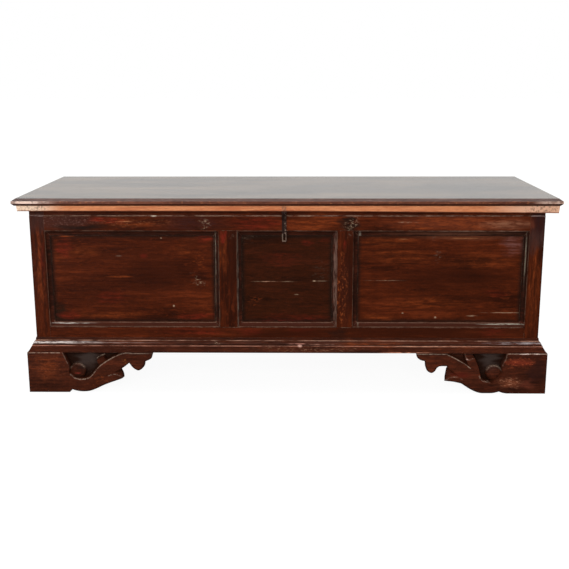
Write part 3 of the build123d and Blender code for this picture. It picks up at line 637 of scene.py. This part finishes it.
def moulding_wear_and_light(wood, colour, name):
    """A panel moulding: rubbed along its outer edge, with painted shade where it meets the panel and painted light
    on its upward-facing sill, along whose edges lie pale lines of painted highlight with wear.
    """
    off_edge, off_foot = off_rim(wood, name)
    patchy = wood.patches(26, wood.shift + 4.4, 0.36, 0.60, **BROKEN)
    above = wood.ramp(off_foot, *SILL_HEIGHT)
    sill = wood.minus(1.0, above)
    colour = wood.lay(colour, (112, 84, 68), wood.ramp(off_edge, *OUTER_LINE), patchy, 0.6)
    # Painted shade in the crease where the moulding meets the panel, left off the sill
    colour = wood.lay(colour, SOOT_AND_SHADE, wood.ramp(off_edge, *INNER_SHADE), above, 0.85)
    # Painted light: the upward-facing sill is made lighter
    colour = wood.lay(colour, (78, 38, 26), sill, 0.5)
    # Pale lines of painted highlight, broken by wear, along the edges of the sill
    for place, half_width in SILL_SHEEN_AND_WEAR_LINES:
        line = wood.line(off_edge, place, half_width)
        colour = wood.lay(colour, (132, 102, 86), line, sill, wood.between(patchy, 0.35, 1.0))
    return colour


# Lines along the base moulding, pale ones of painted highlight with wear on its arrises and dark ones of painted
# shade
# in its quirks: height and half width in millimetres, colour and strength
BASE_LIGHT_AND_SHADE_LINES = (
    (135, 2, (30, 12, 8), 0.8),
    (152.2, 1.6, (166, 112, 92), 0.9),
    (156.2, 1.6, (30, 16, 14), 0.8),
    (161.2, 4.2, (88, 56, 46), 0.3),
    (167.6, 1.6, (168, 128, 108), 0.8),
    (174, 3, (36, 20, 16), 0.5),
)


def base_light_and_shade(wood, colour):
    """The base moulding: painted highlights with wear along its arrises, painted shade in its quirks."""
    for i, (height, half_width, shade, share) in enumerate(BASE_LIGHT_AND_SHADE_LINES):
        patchy = wood.patches((16, 16, 90), wood.shift + i, 0.36, 0.60, **BROKEN)
        line = wood.line(wood.axes["Z"], MM * height, MM * half_width)
        colour = wood.lay(colour, shade, line, patchy, share)
    return colour


def stained_wood(name, grain, shift, finish):
    """Stained and waxed walnut with the marks that its node carries, and bare wood inside the chest."""
    *shades, gloss, specular = finish
    wood = Wood(f"walnut_{name}", grain, shift, gloss, specular)
    colour = wood.figure(*shades)
    if name.startswith("base_"):
        colour = base_light_and_shade(wood, colour)
    elif name.endswith("_moulding"):
        colour = moulding_wear_and_light(wood, colour, name)
    elif name.endswith("_panel"):
        # Painted shade, with dirt, along the panel's rim beside the moulding
        rim = wood.ramp(off_rim(wood, name)[0], *PANEL_RIM)
        colour = wood.lay(colour, SOOT_AND_SHADE, rim, wood.between(wood.streak, 0.3, 1.0))
    for mark in MARKS.get(name, ()):
        colour = wood.wear_and_light_mark(colour, *mark)
    return wood.done(wood.raw_inside(colour, name))


# Where the hollow of each carved foot is grey with dust, along and up, and how far that reaches; elsewhere the
# hollow is painted dark as shadow
DUST = {"front_left_foot_scroll": (-0.640, 0.116), "front_right_foot_scroll": (0.650, 0.118)}
DUST_REACH = (0.042, 0, 0.060)


def carved_wood(name, shift):
    """The carved feet: painted shadow in the hollows, grey where dust has settled, painted shade along the sawn
    brink, and painted highlights with wear along the crests of the carving.
    """
    wood = Wood(f"carved_{name}", "X", shift, (0.30, 0.46), 0.15)
    colour = wood.figure((42, 17, 9), (66, 29, 16), (94, 42, 24))
    for mark in MARKS[name]:
        colour = wood.wear_and_light_mark(colour, *mark)
    x, z = DUST[name]
    dust = wood.spot((x, 0, z), DUST_REACH, wood.ragged)
    # Painted shadow in the hollows, grey where the dust lies
    hollow = wood.mix(dust, (27, 14, 8), (56, 46, 42))
    colour = wood.lay(colour, hollow, wood.attribute("hollow"), 0.92)
    # Painted shade along the sawn brink
    colour = wood.lay(colour, (26, 12, 8), wood.attribute("brink_shade"), 0.7)
    # Painted highlights, broken by wear, along the crests of the carving and the upper rim of the boss
    patchy = wood.patches(70, shift + 5.2, 0.36, 0.58, **BROKEN)
    return wood.done(wood.lay(colour, (164, 140, 122), wood.attribute("crest_sheen_and_wear"), patchy))


# The rubbed arrises of each slot's boards: width, colour of the wood, colour of the wear and its strength
ARRISES = {
    "frame_walnut": (0.0010, (60, 28, 17), (126, 98, 80), 0.6),
    "moulding_walnut": (0.0007, (44, 23, 15), (96, 72, 58), 0.6),
    "base_walnut": (0.0010, (92, 54, 38), (160, 130, 108), 0.85),
    "inner_wood": (0.0008, (104, 70, 46), (120, 90, 64), 0.5),
}
ARRIS_ANGLE = math.radians(38)


def worn_arris(slot_name, grain):
    """The finish of the rubbed arrises of one slot's boards."""
    _, wood_colour, worn_colour, share = ARRISES[slot_name]
    wood = Wood(f"arris_{slot_name}_{grain}", grain, 2.0, (0.26, 0.42), 0.2)
    return wood.done(wood.worn(wood.figure(DARK, wood_colour, LIGHT), worn_colour, share))


# The lid's bevel in from its edge, its worn tip and the wood under that by depth, its bare foot by height
BEVEL_RUN = (0.0117, 0.0107)
TIP_DEPTH = (0.0070, 0.0085)
UNDER_DEPTH = (0.0145, 0.0155)
BARE_HEIGHT = (0.0009, 0.0004)


def worn_tip(wood, off_left, off_right, off_front):
    """The tip of the lid's nosing: flaked to redder wood, and pale at both front corners from wear and a painted
    highlight.
    """
    colour = wood.figure((66, 34, 24), (98, 54, 38), (120, 70, 50))
    flecks = wood.patches((70, 70, 120), 1.5, 0.54, 0.64, detail=5.0, rough=0.8)
    colour = wood.lay(colour, (172, 104, 66), flecks, 0.6)
    # Pale corners of worn wood with a painted highlight, stronger at the left
    for off_end, reach, shade in ((off_left, 0.15, (222, 192, 176)), (off_right, 0.10, (190, 160, 144))):
        along = wood.ramp(off_end, reach, 0.4 * reach)
        back = wood.ramp(off_front, reach, 0.2 * reach)
        colour = wood.lay(colour, shade, along, back, wood.ramp(wood.noise(60, reach), 0.35, 0.55, 0.35, 1.0))
    return colour


def lid_wood(name, node):
    """The polished lid: grey-brown, darker on its bevel, worn along its tip and bare beneath."""
    low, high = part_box(node)
    wood = Wood(name, "X", 4.4, (0.20, 0.30), 0.5)
    off_left = wood.minus(wood.axes["X"], low.x)
    off_right = wood.minus(high.x, wood.axes["X"])
    off_front = wood.minus(wood.axes["Y"], low.y)
    off_top = wood.minus(high.z, wood.axes["Z"])
    clouds = wood.patches((2.4, 9.0, 2.4), 1.3, 0.38, 0.62, detail=4.0, rough=0.65, warp=0.5)
    board = wood.mix(clouds, wood.figure((32, 25, 18), (50, 40, 30), (72, 60, 47)),
                     wood.figure((54, 43, 32), (82, 67, 51), (108, 91, 73)))
    rim = wood.figure((54, 38, 34), (82, 60, 54), (108, 82, 74))
    rim = wood.mix(wood.ramp(off_top, *TIP_DEPTH), rim, worn_tip(wood, off_left, off_right, off_front))
    under = wood.figure((48, 26, 20), (76, 40, 28), (96, 52, 36))
    rim = wood.mix(wood.ramp(off_top, *UNDER_DEPTH), rim, under)
    colour = wood.mix(wood.ramp(wood.least(off_front, off_left, off_right), *BEVEL_RUN), board, rim)
    bare = wood.ramp(wood.minus(wood.axes["Z"], low.z), *BARE_HEIGHT)
    return wood.done(wood.mix(bare, colour, wood.figure(*RAW)), POLISH_RELIEF)


# The strip's foot runs down from STRIP_TURN to the right end. It is painted dark as shade up to a height that
# wavers. The corners of the strip are creamy (place, reach and colour), with dirt near their ends.
STRIP_TURN = 0.05
STRIP_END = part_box("lid_front_strip")[1].x
STRIP_FALL = 0.0055
STRIP_FOOT_SHADE = (0.0035, 0.0010)
STRIP_WAVER = 0.0015
CREAM = ((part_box("lid_front_strip")[0].x, 0.16, (236, 208, 182)), (STRIP_END, 0.26, (224, 176, 146)))
DIRT_PLACE = 0.935
DIRT_REACH = 0.07


def strip_wood(name, grain, node):
    """The pale strip under the lid: bare orange wood, creamy at its corners, with painted shade along its foot."""
    low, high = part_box(node)
    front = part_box("lid_front_strip")[0].y
    wood = Wood(name, grain, 6.1, (0.45, 0.60), 0.2)
    colour = wood.figure((184, 106, 68), (208, 134, 90), (224, 154, 106))
    dirt = wood.noise(stretch(grain, 30.0, 110.0), 2.2, detail=4.0, rough=0.7)
    colour = wood.mix(wood.ramp(dirt, 0.52, 0.72, 0.0, 0.4), colour, (140, 80, 52))
    specks = wood.patches(170, 8.8, 0.48, 0.60, detail=4.0, rough=0.75)
    for x, reach, shade in CREAM:
        colour = wood.lay(colour, shade, wood.spot((x, front, high.z), (reach, reach, 0)), 0.9)
        dirty = wood.spot((DIRT_PLACE * x, front, high.z), (DIRT_REACH, DIRT_REACH, 0))
        colour = wood.lay(colour, (96, 60, 48), dirty, specks, 0.7)
    along = wood.calc("DIVIDE", wood.minus(wood.axes["X"], STRIP_TURN), STRIP_END - STRIP_TURN)
    height = wood.plus(wood.minus(wood.axes["Z"], low.z), wood.between(along, 0.0, STRIP_FALL))
    height = wood.plus(height, wood.between(dirt, -STRIP_WAVER, STRIP_WAVER))
    # Painted shade along the strip's foot
    return wood.done(wood.mix(wood.ramp(height, *STRIP_FOOT_SHADE), colour, (112, 62, 42)))


def raw_wood(name, grain, shift):
    """Bare, aged wood of the back, the bottom and the blocks."""
    wood = Wood(name, grain, shift, (0.55, 0.75), 0.3)
    colour = wood.figure((74, 48, 32), (104, 70, 46), (132, 92, 62))
    return wood.done(wood.worn(colour, (70, 54, 44), 0.5, 9.0, 0.45, 0.7), RAW_RELIEF)


# The hasp's rubbed slotted end by height, how far in from its left edge it is rubbed and where its specks
# are, and how far up from the strip's foot the iron on the strip is bare
SLOT_END = (0.027, 0.023)
RUBBED_REACH = 0.0125
SPECKS_PLACE = 0.0115
SPECKS_REACH = 0.0060
STRIP_COVER = (0.002, 0.0)
FORGED_RELIEF = 0.0008
DUST_RELIEF = 0.0003


def dark_iron(name, shift):
    """Hand-forged iron, nearly black, with brown rust and pits."""
    iron = Paint(name, 0.5, 0.5, 0.6)
    rust = iron.patches(90, shift, 0.46, 0.62, detail=5.0, rough=0.7)
    pits = iron.noise(420, shift + 2.0, rough=0.6)
    colour = iron.mix(rust, (52, 48, 46), (70, 42, 28))
    colour = iron.mix(iron.ramp(pits, 0.4, 0.6, 0.4, 0.0), colour, (20, 17, 15))
    return iron.finish(colour, pits, FORGED_RELIEF, iron.between(rust, 0.42, 0.72))


def worn_hasp(name, node):
    """The hasp, dark with pale specks of old dust and rubbed along the bars round its slot."""
    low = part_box(node)[0]
    iron = Paint(name, 0.55, 0.3, 0.3)
    colour = iron.mix(iron.noise(60, 1.0), (26, 17, 17), (60, 40, 34))
    round_slot = iron.ramp(iron.minus(iron.axes["Z"], low.z), *SLOT_END)
    patchy = iron.ramp(iron.noise(90, 7.0), 0.35, 0.6, 0.4, 0.9)
    left = iron.between(iron.spot((low.x, 0, 0), (RUBBED_REACH, 0, 0)), 0.45, 1.0)
    colour = iron.lay(colour, (124, 104, 90), round_slot, patchy, left)
    specks = iron.times(iron.patches((260, 260, 200), 3.0, 0.50, 0.62, rough=0.7),
                        iron.spot((low.x + SPECKS_PLACE, 0, 0), (SPECKS_REACH, 0, 0)))
    return iron.finish(iron.lay(colour, (168, 140, 122), specks, 0.6), specks, DUST_RELIEF)


def dusty_iron(name):
    """The hasp's leaf and nails, rubbed over with the colour of the strip that they lie on."""
    iron = Paint(name, 0.6, 0.2)
    dusty = iron.patches(150, 5.0, 0.40, 0.62, detail=4.0, rough=0.7)
    colour = iron.mix(dusty, (180, 116, 82), (130, 88, 68))
    bare = iron.ramp(iron.minus(iron.axes["Z"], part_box("lid_front_strip")[0].z), *STRIP_COVER)
    return iron.finish(iron.mix(bare, colour, (48, 32, 28)), dusty, DUST_RELIEF)


# ---------------------------------------------------------------------------------- finishes of boards

# How far apart the figures of two boards are taken from the noise
SHIFT_STEP = 1.9


def grain_of(node):
    """The direction that a board's grain runs in, from its name and size."""
    if node.endswith(("stile", "muntin")):
        return "Z"
    low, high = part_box(node)
    size = high - low
    return "Z" if size.z == max(size) else "X" if size.x >= size.y else "Y"


def soften(node, width, edge_material):
    """Worn arrises: the sharp edges of a board are rounded and take a material of their own."""
    node.data.materials.append(edge_material)
    weld = node.modifiers.new("weld", "WELD")
    weld.merge_threshold = WELD_DISTANCE
    bevel = node.modifiers.new("arris", "BEVEL")
    bevel.width = width
    bevel.segments = 2
    bevel.limit_method = "ANGLE"
    bevel.angle_limit = ARRIS_ANGLE
    bevel.material = 1
    normals = node.modifiers.new("normals", "WEIGHTED_NORMAL")
    normals.weight = 50


def board_material(name, slot_name, grain, shift):
    """The finish of one node, by its name or material slot."""
    if name == "hasp":
        return worn_hasp("iron_hasp", name)
    if name in ("hasp_leaf", "hasp_nails"):
        return dusty_iron(f"iron_{name}")
    if slot_name == "iron":
        return dark_iron(f"iron_{name}", shift)
    if slot_name == "lid_walnut":
        return lid_wood("lid_walnut", name)
    if slot_name == "pale_strip":
        return strip_wood(f"pale_{name}", grain, name)
    if slot_name == "inner_wood":
        return raw_wood(f"raw_{name}", grain, shift)
    finish = MIDDLE_PANEL_FINISH if name == "front_middle_panel" else FINISHES[slot_name]
    return stained_wood(name, grain, shift, finish)


arris_materials = {(slot_name, grain): worn_arris(slot_name, grain) for grain in "XYZ" for slot_name in ARRISES}

for i, (name, node) in enumerate(sorted(nodes.items())):
    slot_name = node.material_slots[0].material.name
    grain = grain_of(name)
    node.data.materials[0] = board_material(name, slot_name, grain, SHIFT_STEP * i)
    if slot_name in ARRISES:
        soften(node, ARRISES[slot_name][0], arris_materials[slot_name, grain])


def deepen(name):
    """A strip of the lid with its foot run down towards the right."""
    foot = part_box(name)[0].z
    cut = bmesh.new()
    cut.from_mesh(nodes[name].data)
    bmesh.ops.remove_doubles(cut, verts=cut.verts, dist=WELD_DISTANCE)
    everything = cut.verts[:] + cut.edges[:] + cut.faces[:]
    bmesh.ops.bisect_plane(cut, geom=everything, plane_co=(STRIP_TURN, 0, 0), plane_no=(1, 0, 0))
    cut.verts.index_update()
    rows = []
    for corner in cut.verts:
        x, y, z = corner.co
        share = max(x - STRIP_TURN, 0) / (STRIP_END - STRIP_TURN)
        rows.append((x, y, z - STRIP_FALL * share if z < foot + MM else z))
    mesh = bpy.data.meshes.new(f"{name}_deep")
    mesh.from_pydata(rows, [], [[corner.index for corner in face.verts] for face in cut.faces])
    cut.free()
    mesh.materials.append(nodes[name].data.materials[0])
    shape = new_object(f"{name}_deep", mesh)
    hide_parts(name)
    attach(shape, "lid")


deepen("lid_front_strip")
deepen("lid_right_strip")

# ---------------------------------------------------------------------------------- carved front feet
#
# Each front foot is drawn in millimetres, inwards from its outer corner and up from the floor. An open
# line is a smooth curve through its points. A closed shape is made of runs, each from the end of the one
# before: to one point it is straight, through more it is a smooth curve, and where runs meet is a corner.

FOOT_HEIGHT = 133
FOOT_LEDGE = 2.4

# The mesh: its segments and grid, its rows inside the outline and down the walls of the carving, its rings
# round the boss as shares of its radius, and how near its points may be to the outline and to each other
CARVING_STEP = 1.6
CREST_STEP = 4.0
CARVING_GRID = 2.1
EDGE_ROWS = (1.3, 2.7)
WALL_ROWS = (1.7, 3.4, 5.0)
BOSS_RINGS = (0.66, 0.98, 1.03)
BOSS_POINTS = 90
OUTLINE_GAP = 0.9
POINT_GAP = 1.15

# The depth of each sunk part and the run of its wall, and the leaf's ridge, slope and wall
SUNK = {"recess": (22, 5.0), "wedge": (17, 5.0), "tip_hollow": (9, 9.0)}
LEAF_RIDGE = 4
LEAF_SLOPE = 0.3
LEAF_WALL = 4.0

# The boss: how deep its crown lies and its edge falls, the place and width of its groove and of the painted
# highlight on its rim as shares of its radius, and how strongly and from what height over its eye that highlight
# is painted
BOSS_CROWN = 4.5
BOSS_FALL = 9
BOSS_GROOVE = (0.66, 0.12)
BOSS_RIM_SHEEN = (0.93, 0.06)
RIM_SHEEN_STRENGTH = 0.55
RIM_SHEEN_RISE = (2, 16)

# The lines painted pale as highlights, broken by wear: half width and strength
SHEEN_AND_WEAR_LINES = {
    "crest_sheen_and_wear": (1.5, 0.9),
    "tip_crest": (1.4, 0.7),
    "leaf_ridge": (1.5, 0.6),
    "block_edge": (1.5, 0.35),
    "top_edge": (1.6, 0.9),
    "inner_edge": (1.5, 0.6),
    "hollow_edge": (1.4, 0.8),
}

# The sawn arris by its radius on the plain block and what it gains past that, the carver's unevenness, the
# painted shade along its brink, how far the saw ran under, and between which places along the foot each sets in
ARRIS_RADIUS = (1.2, 1.4)
ARRIS_SETS_IN = (118, 165)
WAVE_SIZE = (24, 16)
WAVE_DEPTH = 0.5
WAVES_SET_IN = (95, 150)
BRINK_SHADE_REACH = (1, 7)
BRINK_SHADE_SETS_IN = (110, 150)
UNDERCUT = 10
UNDERCUT_SETS_IN = (126, 176)
SHARP_ANGLE = math.radians(50)

LEFT_CREST = [(146, 47), (164, 43), (185, 45), (200, 53), (213, 68), (227, 85), (245, 99), (264, 111),
              (294, 126), (321, 133)]
LEFT_FOOT = {
    "outline": [
        [(130, 0)],
        [(138.5, 9)],
        [(150, 5), (169, 2), (195, 4), (221, 14), (238, 22.5), (260, 31.5), (297, 45), (308, 53)],
        [(304, 66), (299, 79)],
        [(311, 87), (325, 98.5)],
        [(333, 86), (343, 77), (354, 73), (365, 79), (375, 91.5), (377.5, 104)],
        [(391, 110), (398, 117), (403, 133)],
        [(0, 133)],
        [(0, 0)],
    ],
    "recess": [
        [(112, 135)],
        [(119, 117), (127, 98), (132, 84), (131, 66), (146, 47)],
        LEFT_CREST[1:],
        [(330, 170)],
        [(112, 170)],
    ],
    "leaf": [
        [(230, 117), (244, 122)],
        [(252, 104), (245, 96), (227, 82)],
        [(219, 94), (217, 108)],
    ],
    "leaf_ridge": [(217, 108), (230, 117), (244, 122)],
    "tip_hollow": [
        [(268, 61.5), (280, 62), (293, 57.5), (309, 50)],
        [(340, 60), (301, 81)],
        [(282, 71), (256, 57)],
    ],
    "tip_crest": [(256, 55.5), (268, 60), (280, 60.5), (293, 56), (306, 49)],
    "boss": (157, 69),
    "boss_radius": 25.5,
    "boss_groove": 1.4,
    "crest_sheen_and_wear": LEFT_CREST,
    "block_edge": [(112, 133), (119, 117), (127, 98), (132, 84)],
    "hollow_edge": [(134, 60), (146, 47), (158, 43.5)],
    "top_edge": [(0, 132), (104, 132)],
    "inner_edge": [(316, 131.5), (355, 130), (399, 129.5)],
}

RIGHT_CREST = [(240, 83), (255, 95), (270, 104.5), (292, 117), (319, 130)]
RIGHT_FOOT = {
    "outline": [
        [(124, 0)],
        [(136, 2), (147, 6)],
        [(164, 1.2), (186, 0.2), (210, 1.5), (236, 12), (269, 33)],
        [(295, 38.5), (322.5, 41.5)],
        [(320, 60), (315.5, 90)],
        [(328, 90.5), (340, 89.5)],
        [(347, 84), (354, 73), (364.5, 67.5), (378, 75), (385, 91.5), (387, 107)],
        [(400, 110.4), (411.4, 120), (415, 133)],
        [(0, 133)],
        [(0, 0)],
    ],
    "recess": [
        [(127, 134)],
        [(131, 112), (140, 92), (139, 66), (152, 47)],
        [(168, 38), (186, 37.5), (206, 47)],
        [(213, 76), (222, 101), (238, 132)],
        [(246, 170)],
        [(127, 170)],
    ],
    "wedge": [
        RIGHT_CREST[1:],
        [(330, 170)],
        [(258, 170)],
        [(260, 128), (252, 106), (240, 83)],
    ],
    "leaf": [
        [(231, 117), (248, 112), (256, 118), (261, 133)],
        [(238, 133)],
    ],
    "leaf_ridge": [(231, 117), (248, 112), (256, 118), (261, 133)],
    "tip_hollow": [
        [(281, 56), (303, 55), (324, 43)],
        [(345, 70), (318, 92)],
        [(301, 79), (284, 65), (264, 45)],
    ],
    "tip_crest": [(265, 46), (281, 54), (303, 53), (321, 43.5)],
    "hollow_edge": [(213, 60), (206, 47), (196, 40.5), (178, 37)],
    "boss": (165, 66),
    "boss_radius": 26,
    "boss_groove": 0.8,
    "crest_sheen_and_wear": RIGHT_CREST,
    "block_edge": [(127, 133), (131, 112), (140, 92)],
    "top_edge": [(0, 132), (124, 132)],
    "inner_edge": [(316, 130.5), (360, 130.5), (411, 130)],
}


def smooth_run(points, step):
    """A curve through the points, as a run of segments about as long as the step."""
    known = np.array(points, float)
    padded = np.vstack([2 * known[0] - known[1], known, 2 * known[-1] - known[-2]])
    run = []
    for before, start, end, after in zip(padded, padded[1:], padded[2:], padded[3:]):
        count = max(1, round(np.linalg.norm(end - start) / step))
        for t in np.arange(count) / count:
            run.append(0.5 * (2 * start + (end - before) * t + (2 * before - 5 * start + 4 * end - after) * t ** 2
                              + (3 * start - before - 3 * end + after) * t ** 3))
    return np.array(run + [known[-1]])


def closed_line(runs, step):
    """One closed line made of several runs."""
    starts = [runs[-1][-1]] + [run[-1] for run in runs]
    return np.vstack([smooth_run([start, *run], step)[:-1] for start, run in zip(starts, runs)])


def distance_to(points, line):
    """How far each point lies from a line of short segments."""
    nearest = np.full(len(points), np.inf)
    for start, end in zip(line, line[1:]):
        along = end - start
        share = np.clip((points - start) @ along / (along @ along), 0, 1)
        nearest = np.minimum(nearest, np.linalg.norm(points - start - share[:, None] * along, axis=1))
    return nearest


def distance_to_loop(points, loop):
    """How far each point lies from a closed line."""
    return distance_to(points, np.vstack([loop, loop[:1]]))


def inside(points, loop):
    """Which points lie inside a closed line: a level ray from them crosses it an odd number of times."""
    x, y = points.T
    odd = np.zeros(len(points), bool)
    for (ax, ay), (bx, by) in zip(loop, np.roll(loop, -1, axis=0)):
        if ay != by:
            odd ^= ((ay > y) != (by > y)) & (x < ax + (y - ay) * (bx - ax) / (by - ay))
    return odd


def smoothstep(value, low, high):
    """0 below low, 1 above high, and a smooth rise between."""
    t = np.clip((value - low) / (high - low), 0, 1)
    return t * t * (3 - 2 * t)


def ring(radius, place, width):
    """1 on a circle, falling off smoothly to both sides of it."""
    return np.exp(-((radius - place) / width) ** 2)


def depth_inside(points, runs, wall):
    """0 outside a closed shape and on its edge, rising smoothly to 1 at the foot of its wall."""
    loop = closed_line(runs, CARVING_STEP)
    return np.where(inside(points, loop), smoothstep(distance_to_loop(points, loop), 0, wall), 0.0)


def sunk(points, foot, part):
    """How deep a part of the carving is sunk at each point, if the foot has such a part."""
    bottom, wall = SUNK[part]
    return bottom * depth_inside(points, foot[part], wall) if part in foot else 0


def carve(points, foot):
    """The depth of the carving in millimetres, how hollow each point is, and how strongly a painted highlight with
    wear lies on it.
    """
    depth = np.maximum(sunk(points, foot, "recess"), sunk(points, foot, "wedge"))
    off_ridge = distance_to(points, smooth_run(foot["leaf_ridge"], CARVING_STEP))
    leaf = (LEAF_RIDGE + LEAF_SLOPE * off_ridge - depth) * depth_inside(points, foot["leaf"], LEAF_WALL)
    depth = np.minimum(depth, depth + leaf)
    depth = np.maximum(depth, sunk(points, foot, "tip_hollow"))
    offset = points - np.array(foot["boss"])
    radius = np.linalg.norm(offset, axis=1) / foot["boss_radius"]
    dome = BOSS_CROWN + BOSS_FALL * radius ** 4 + foot["boss_groove"] * ring(radius, *BOSS_GROOVE)
    depth = np.where(radius < 1, np.minimum(depth, dome), depth)
    # Painted highlight on the upper part of the boss's rim, where the light falls
    crest_sheen_and_wear = RIM_SHEEN_STRENGTH * ring(radius, *BOSS_RIM_SHEEN) * smoothstep(offset[:, 1], *RIM_SHEEN_RISE)
    for name, (half_width, share) in SHEEN_AND_WEAR_LINES.items():
        off_line = distance_to(points, smooth_run(foot[name], CREST_STEP))
        crest_sheen_and_wear = np.maximum(crest_sheen_and_wear, share * (1 - smoothstep(off_line, 0, half_width)))
    return depth, np.clip(depth / SUNK["recess"][0], 0, 1), crest_sheen_and_wear


def thin_out(points, keep, gap):
    """Drop the points that stand closer than the gap to one that comes before them."""
    taken = {}
    chosen = []
    for i, point in enumerate(points):
        cell = tuple((point // gap).astype(int))
        near = [j for dx in (-1, 0, 1) for dy in (-1, 0, 1) for j in taken.get((cell[0] + dx, cell[1] + dy), ())]
        if i < keep or all(np.linalg.norm(points[j] - point) >= gap for j in near):
            taken.setdefault(cell, []).append(i)
            chosen.append(i)
    return points[chosen]


def row_inside(loop, reach):
    """A row of points that follows a closed line at a distance inside it."""
    along = np.roll(loop, -1, axis=0) - np.roll(loop, 1, axis=0)
    inwards = np.column_stack([-along[:, 1], along[:, 0]]) / np.linalg.norm(along, axis=1)[:, None]
    row = loop + reach * inwards
    if inside(row, loop).mean() <= 0.5:
        row = loop - reach * inwards
    return row[distance_to_loop(row, loop) > 0.9 * reach]


def carving_points(foot, outline):
    """The outline, the edges of the carving with rows down their walls, and an even grid between them."""
    edges = {part: closed_line(foot[part], CARVING_STEP) for part in ("recess", "wedge", "leaf", "tip_hollow")
             if part in foot}
    walls = [row_inside(edges[part], reach) for part in ("recess", "wedge") if part in foot for reach in WALL_ROWS]
    lines = [row_inside(outline, reach) for reach in EDGE_ROWS] + list(edges.values()) + walls
    angles = np.linspace(0, 2 * math.pi, BOSS_POINTS, endpoint=False)
    circle = np.column_stack([np.cos(angles), np.sin(angles)])
    lines += [share * foot["boss_radius"] * circle + np.array(foot["boss"]) for share in BOSS_RINGS]
    across = np.arange(0, outline[:, 0].max(), CARVING_GRID)
    up = np.arange(0, FOOT_HEIGHT, CARVING_GRID)
    grid = np.array(np.meshgrid(across, up)).reshape(2, -1).T
    spare = np.vstack(lines + [grid])
    spare = spare[inside(spare, outline) & (distance_to_loop(spare, outline) > OUTLINE_GAP)]
    return thin_out(np.vstack([outline, spare]), len(outline), POINT_GAP)


def undercut(outline):
    """The outline of the back face, moved towards the corner as a handsaw held aslant leaves the sawn edges."""
    shift = UNDERCUT * smoothstep(outline[:, 0], *UNDERCUT_SETS_IN) * (outline[:, 1] < FOOT_HEIGHT - 0.5)
    return outline - np.column_stack([shift, np.zeros(len(outline))])


def carved_face(points, foot, outline, side):
    """The depth of each point of the front face in millimetres, and the values that its finish reads."""
    depth, hollow, crest_sheen_and_wear = carve(points, foot)
    gap = distance_to(points, outline[outline[:, 1] < FOOT_HEIGHT - 1])
    radius = ARRIS_RADIUS[0] + ARRIS_RADIUS[1] * smoothstep(points[:, 0], *ARRIS_SETS_IN)
    rounding = radius - np.sqrt(np.maximum(radius ** 2 - np.maximum(radius - gap, 0) ** 2, 0))
    width, height = WAVE_SIZE
    waves = np.array([noise.noise(Vector((x / width, y / height, side * 3.0))) for x, y in points])
    waves = WAVE_DEPTH * (1 + waves) * smoothstep(points[:, 0], *WAVES_SET_IN)
    ledge = np.maximum(points[:, 1] - (FOOT_HEIGHT - FOOT_LEDGE), 0)
    # Painted shade along the sawn brink
    brink_shade = (1 - smoothstep(gap, *BRINK_SHADE_REACH)) * smoothstep(points[:, 0], *BRINK_SHADE_SETS_IN)
    return np.maximum(depth, ledge) + rounding + waves, {"hollow": hollow, "crest_sheen_and_wear": crest_sheen_and_wear, "brink_shade": brink_shade}


def make_foot(node_name, foot, side, shift):
    """A carved front foot: its relief, its sawn edges and its flat back."""
    low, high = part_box(node_name)
    corner = high.x if side > 0 else -low.x
    outline = closed_line(foot["outline"], CARVING_STEP)
    loop = list(range(len(outline)))
    edges = list(zip(loop, loop[1:] + loop[:1]))
    drawn = [Vector(point) for point in carving_points(foot, outline)]
    flat, _, faces, *_ = geometry.delaunay_2d_cdt(drawn, edges, [], 1, 1e-6)
    points = np.array([tuple(point) for point in flat])
    depth, values = carved_face(points, foot, outline, side)
    rows = [(side * (corner - MM * x), low.y + MM * d, MM * z) for (x, z), d in zip(points, depth)]
    rows += [(side * (corner - MM * x), high.y, MM * z) for x, z in undercut(outline)]
    back = range(len(points), len(rows))
    sides = [(i, j, back[j], back[i]) for i, j in edges]
    mesh = bpy.data.meshes.new(f"{node_name}_carved")
    mesh.from_pydata(rows, [], list(faces) + sides + [tuple(back)])
    mesh.validate()
    for name, value in values.items():
        attribute = mesh.attributes.new(name, "FLOAT", "POINT")
        attribute.data.foreach_set("value", np.append(value, np.zeros(len(back))).astype(np.float32))
    face_outwards(mesh)
    mesh.shade_smooth()
    mesh.set_sharp_from_angle(angle=SHARP_ANGLE)
    mesh.materials.append(carved_wood(node_name, shift))
    shape = new_object(f"{node_name}_carved", mesh)
    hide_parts(node_name)
    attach(shape, "carcase")


def face_outwards(mesh):
    """Turn every face of a closed mesh outwards."""
    turned = bmesh.new()
    turned.from_mesh(mesh)
    bmesh.ops.recalc_face_normals(turned, faces=turned.faces)
    turned.to_mesh(mesh)
    turned.free()


make_foot("front_left_foot_scroll", LEFT_FOOT, -1, 5.5)
make_foot("front_right_foot_scroll", RIGHT_FOOT, 1, 9.5)
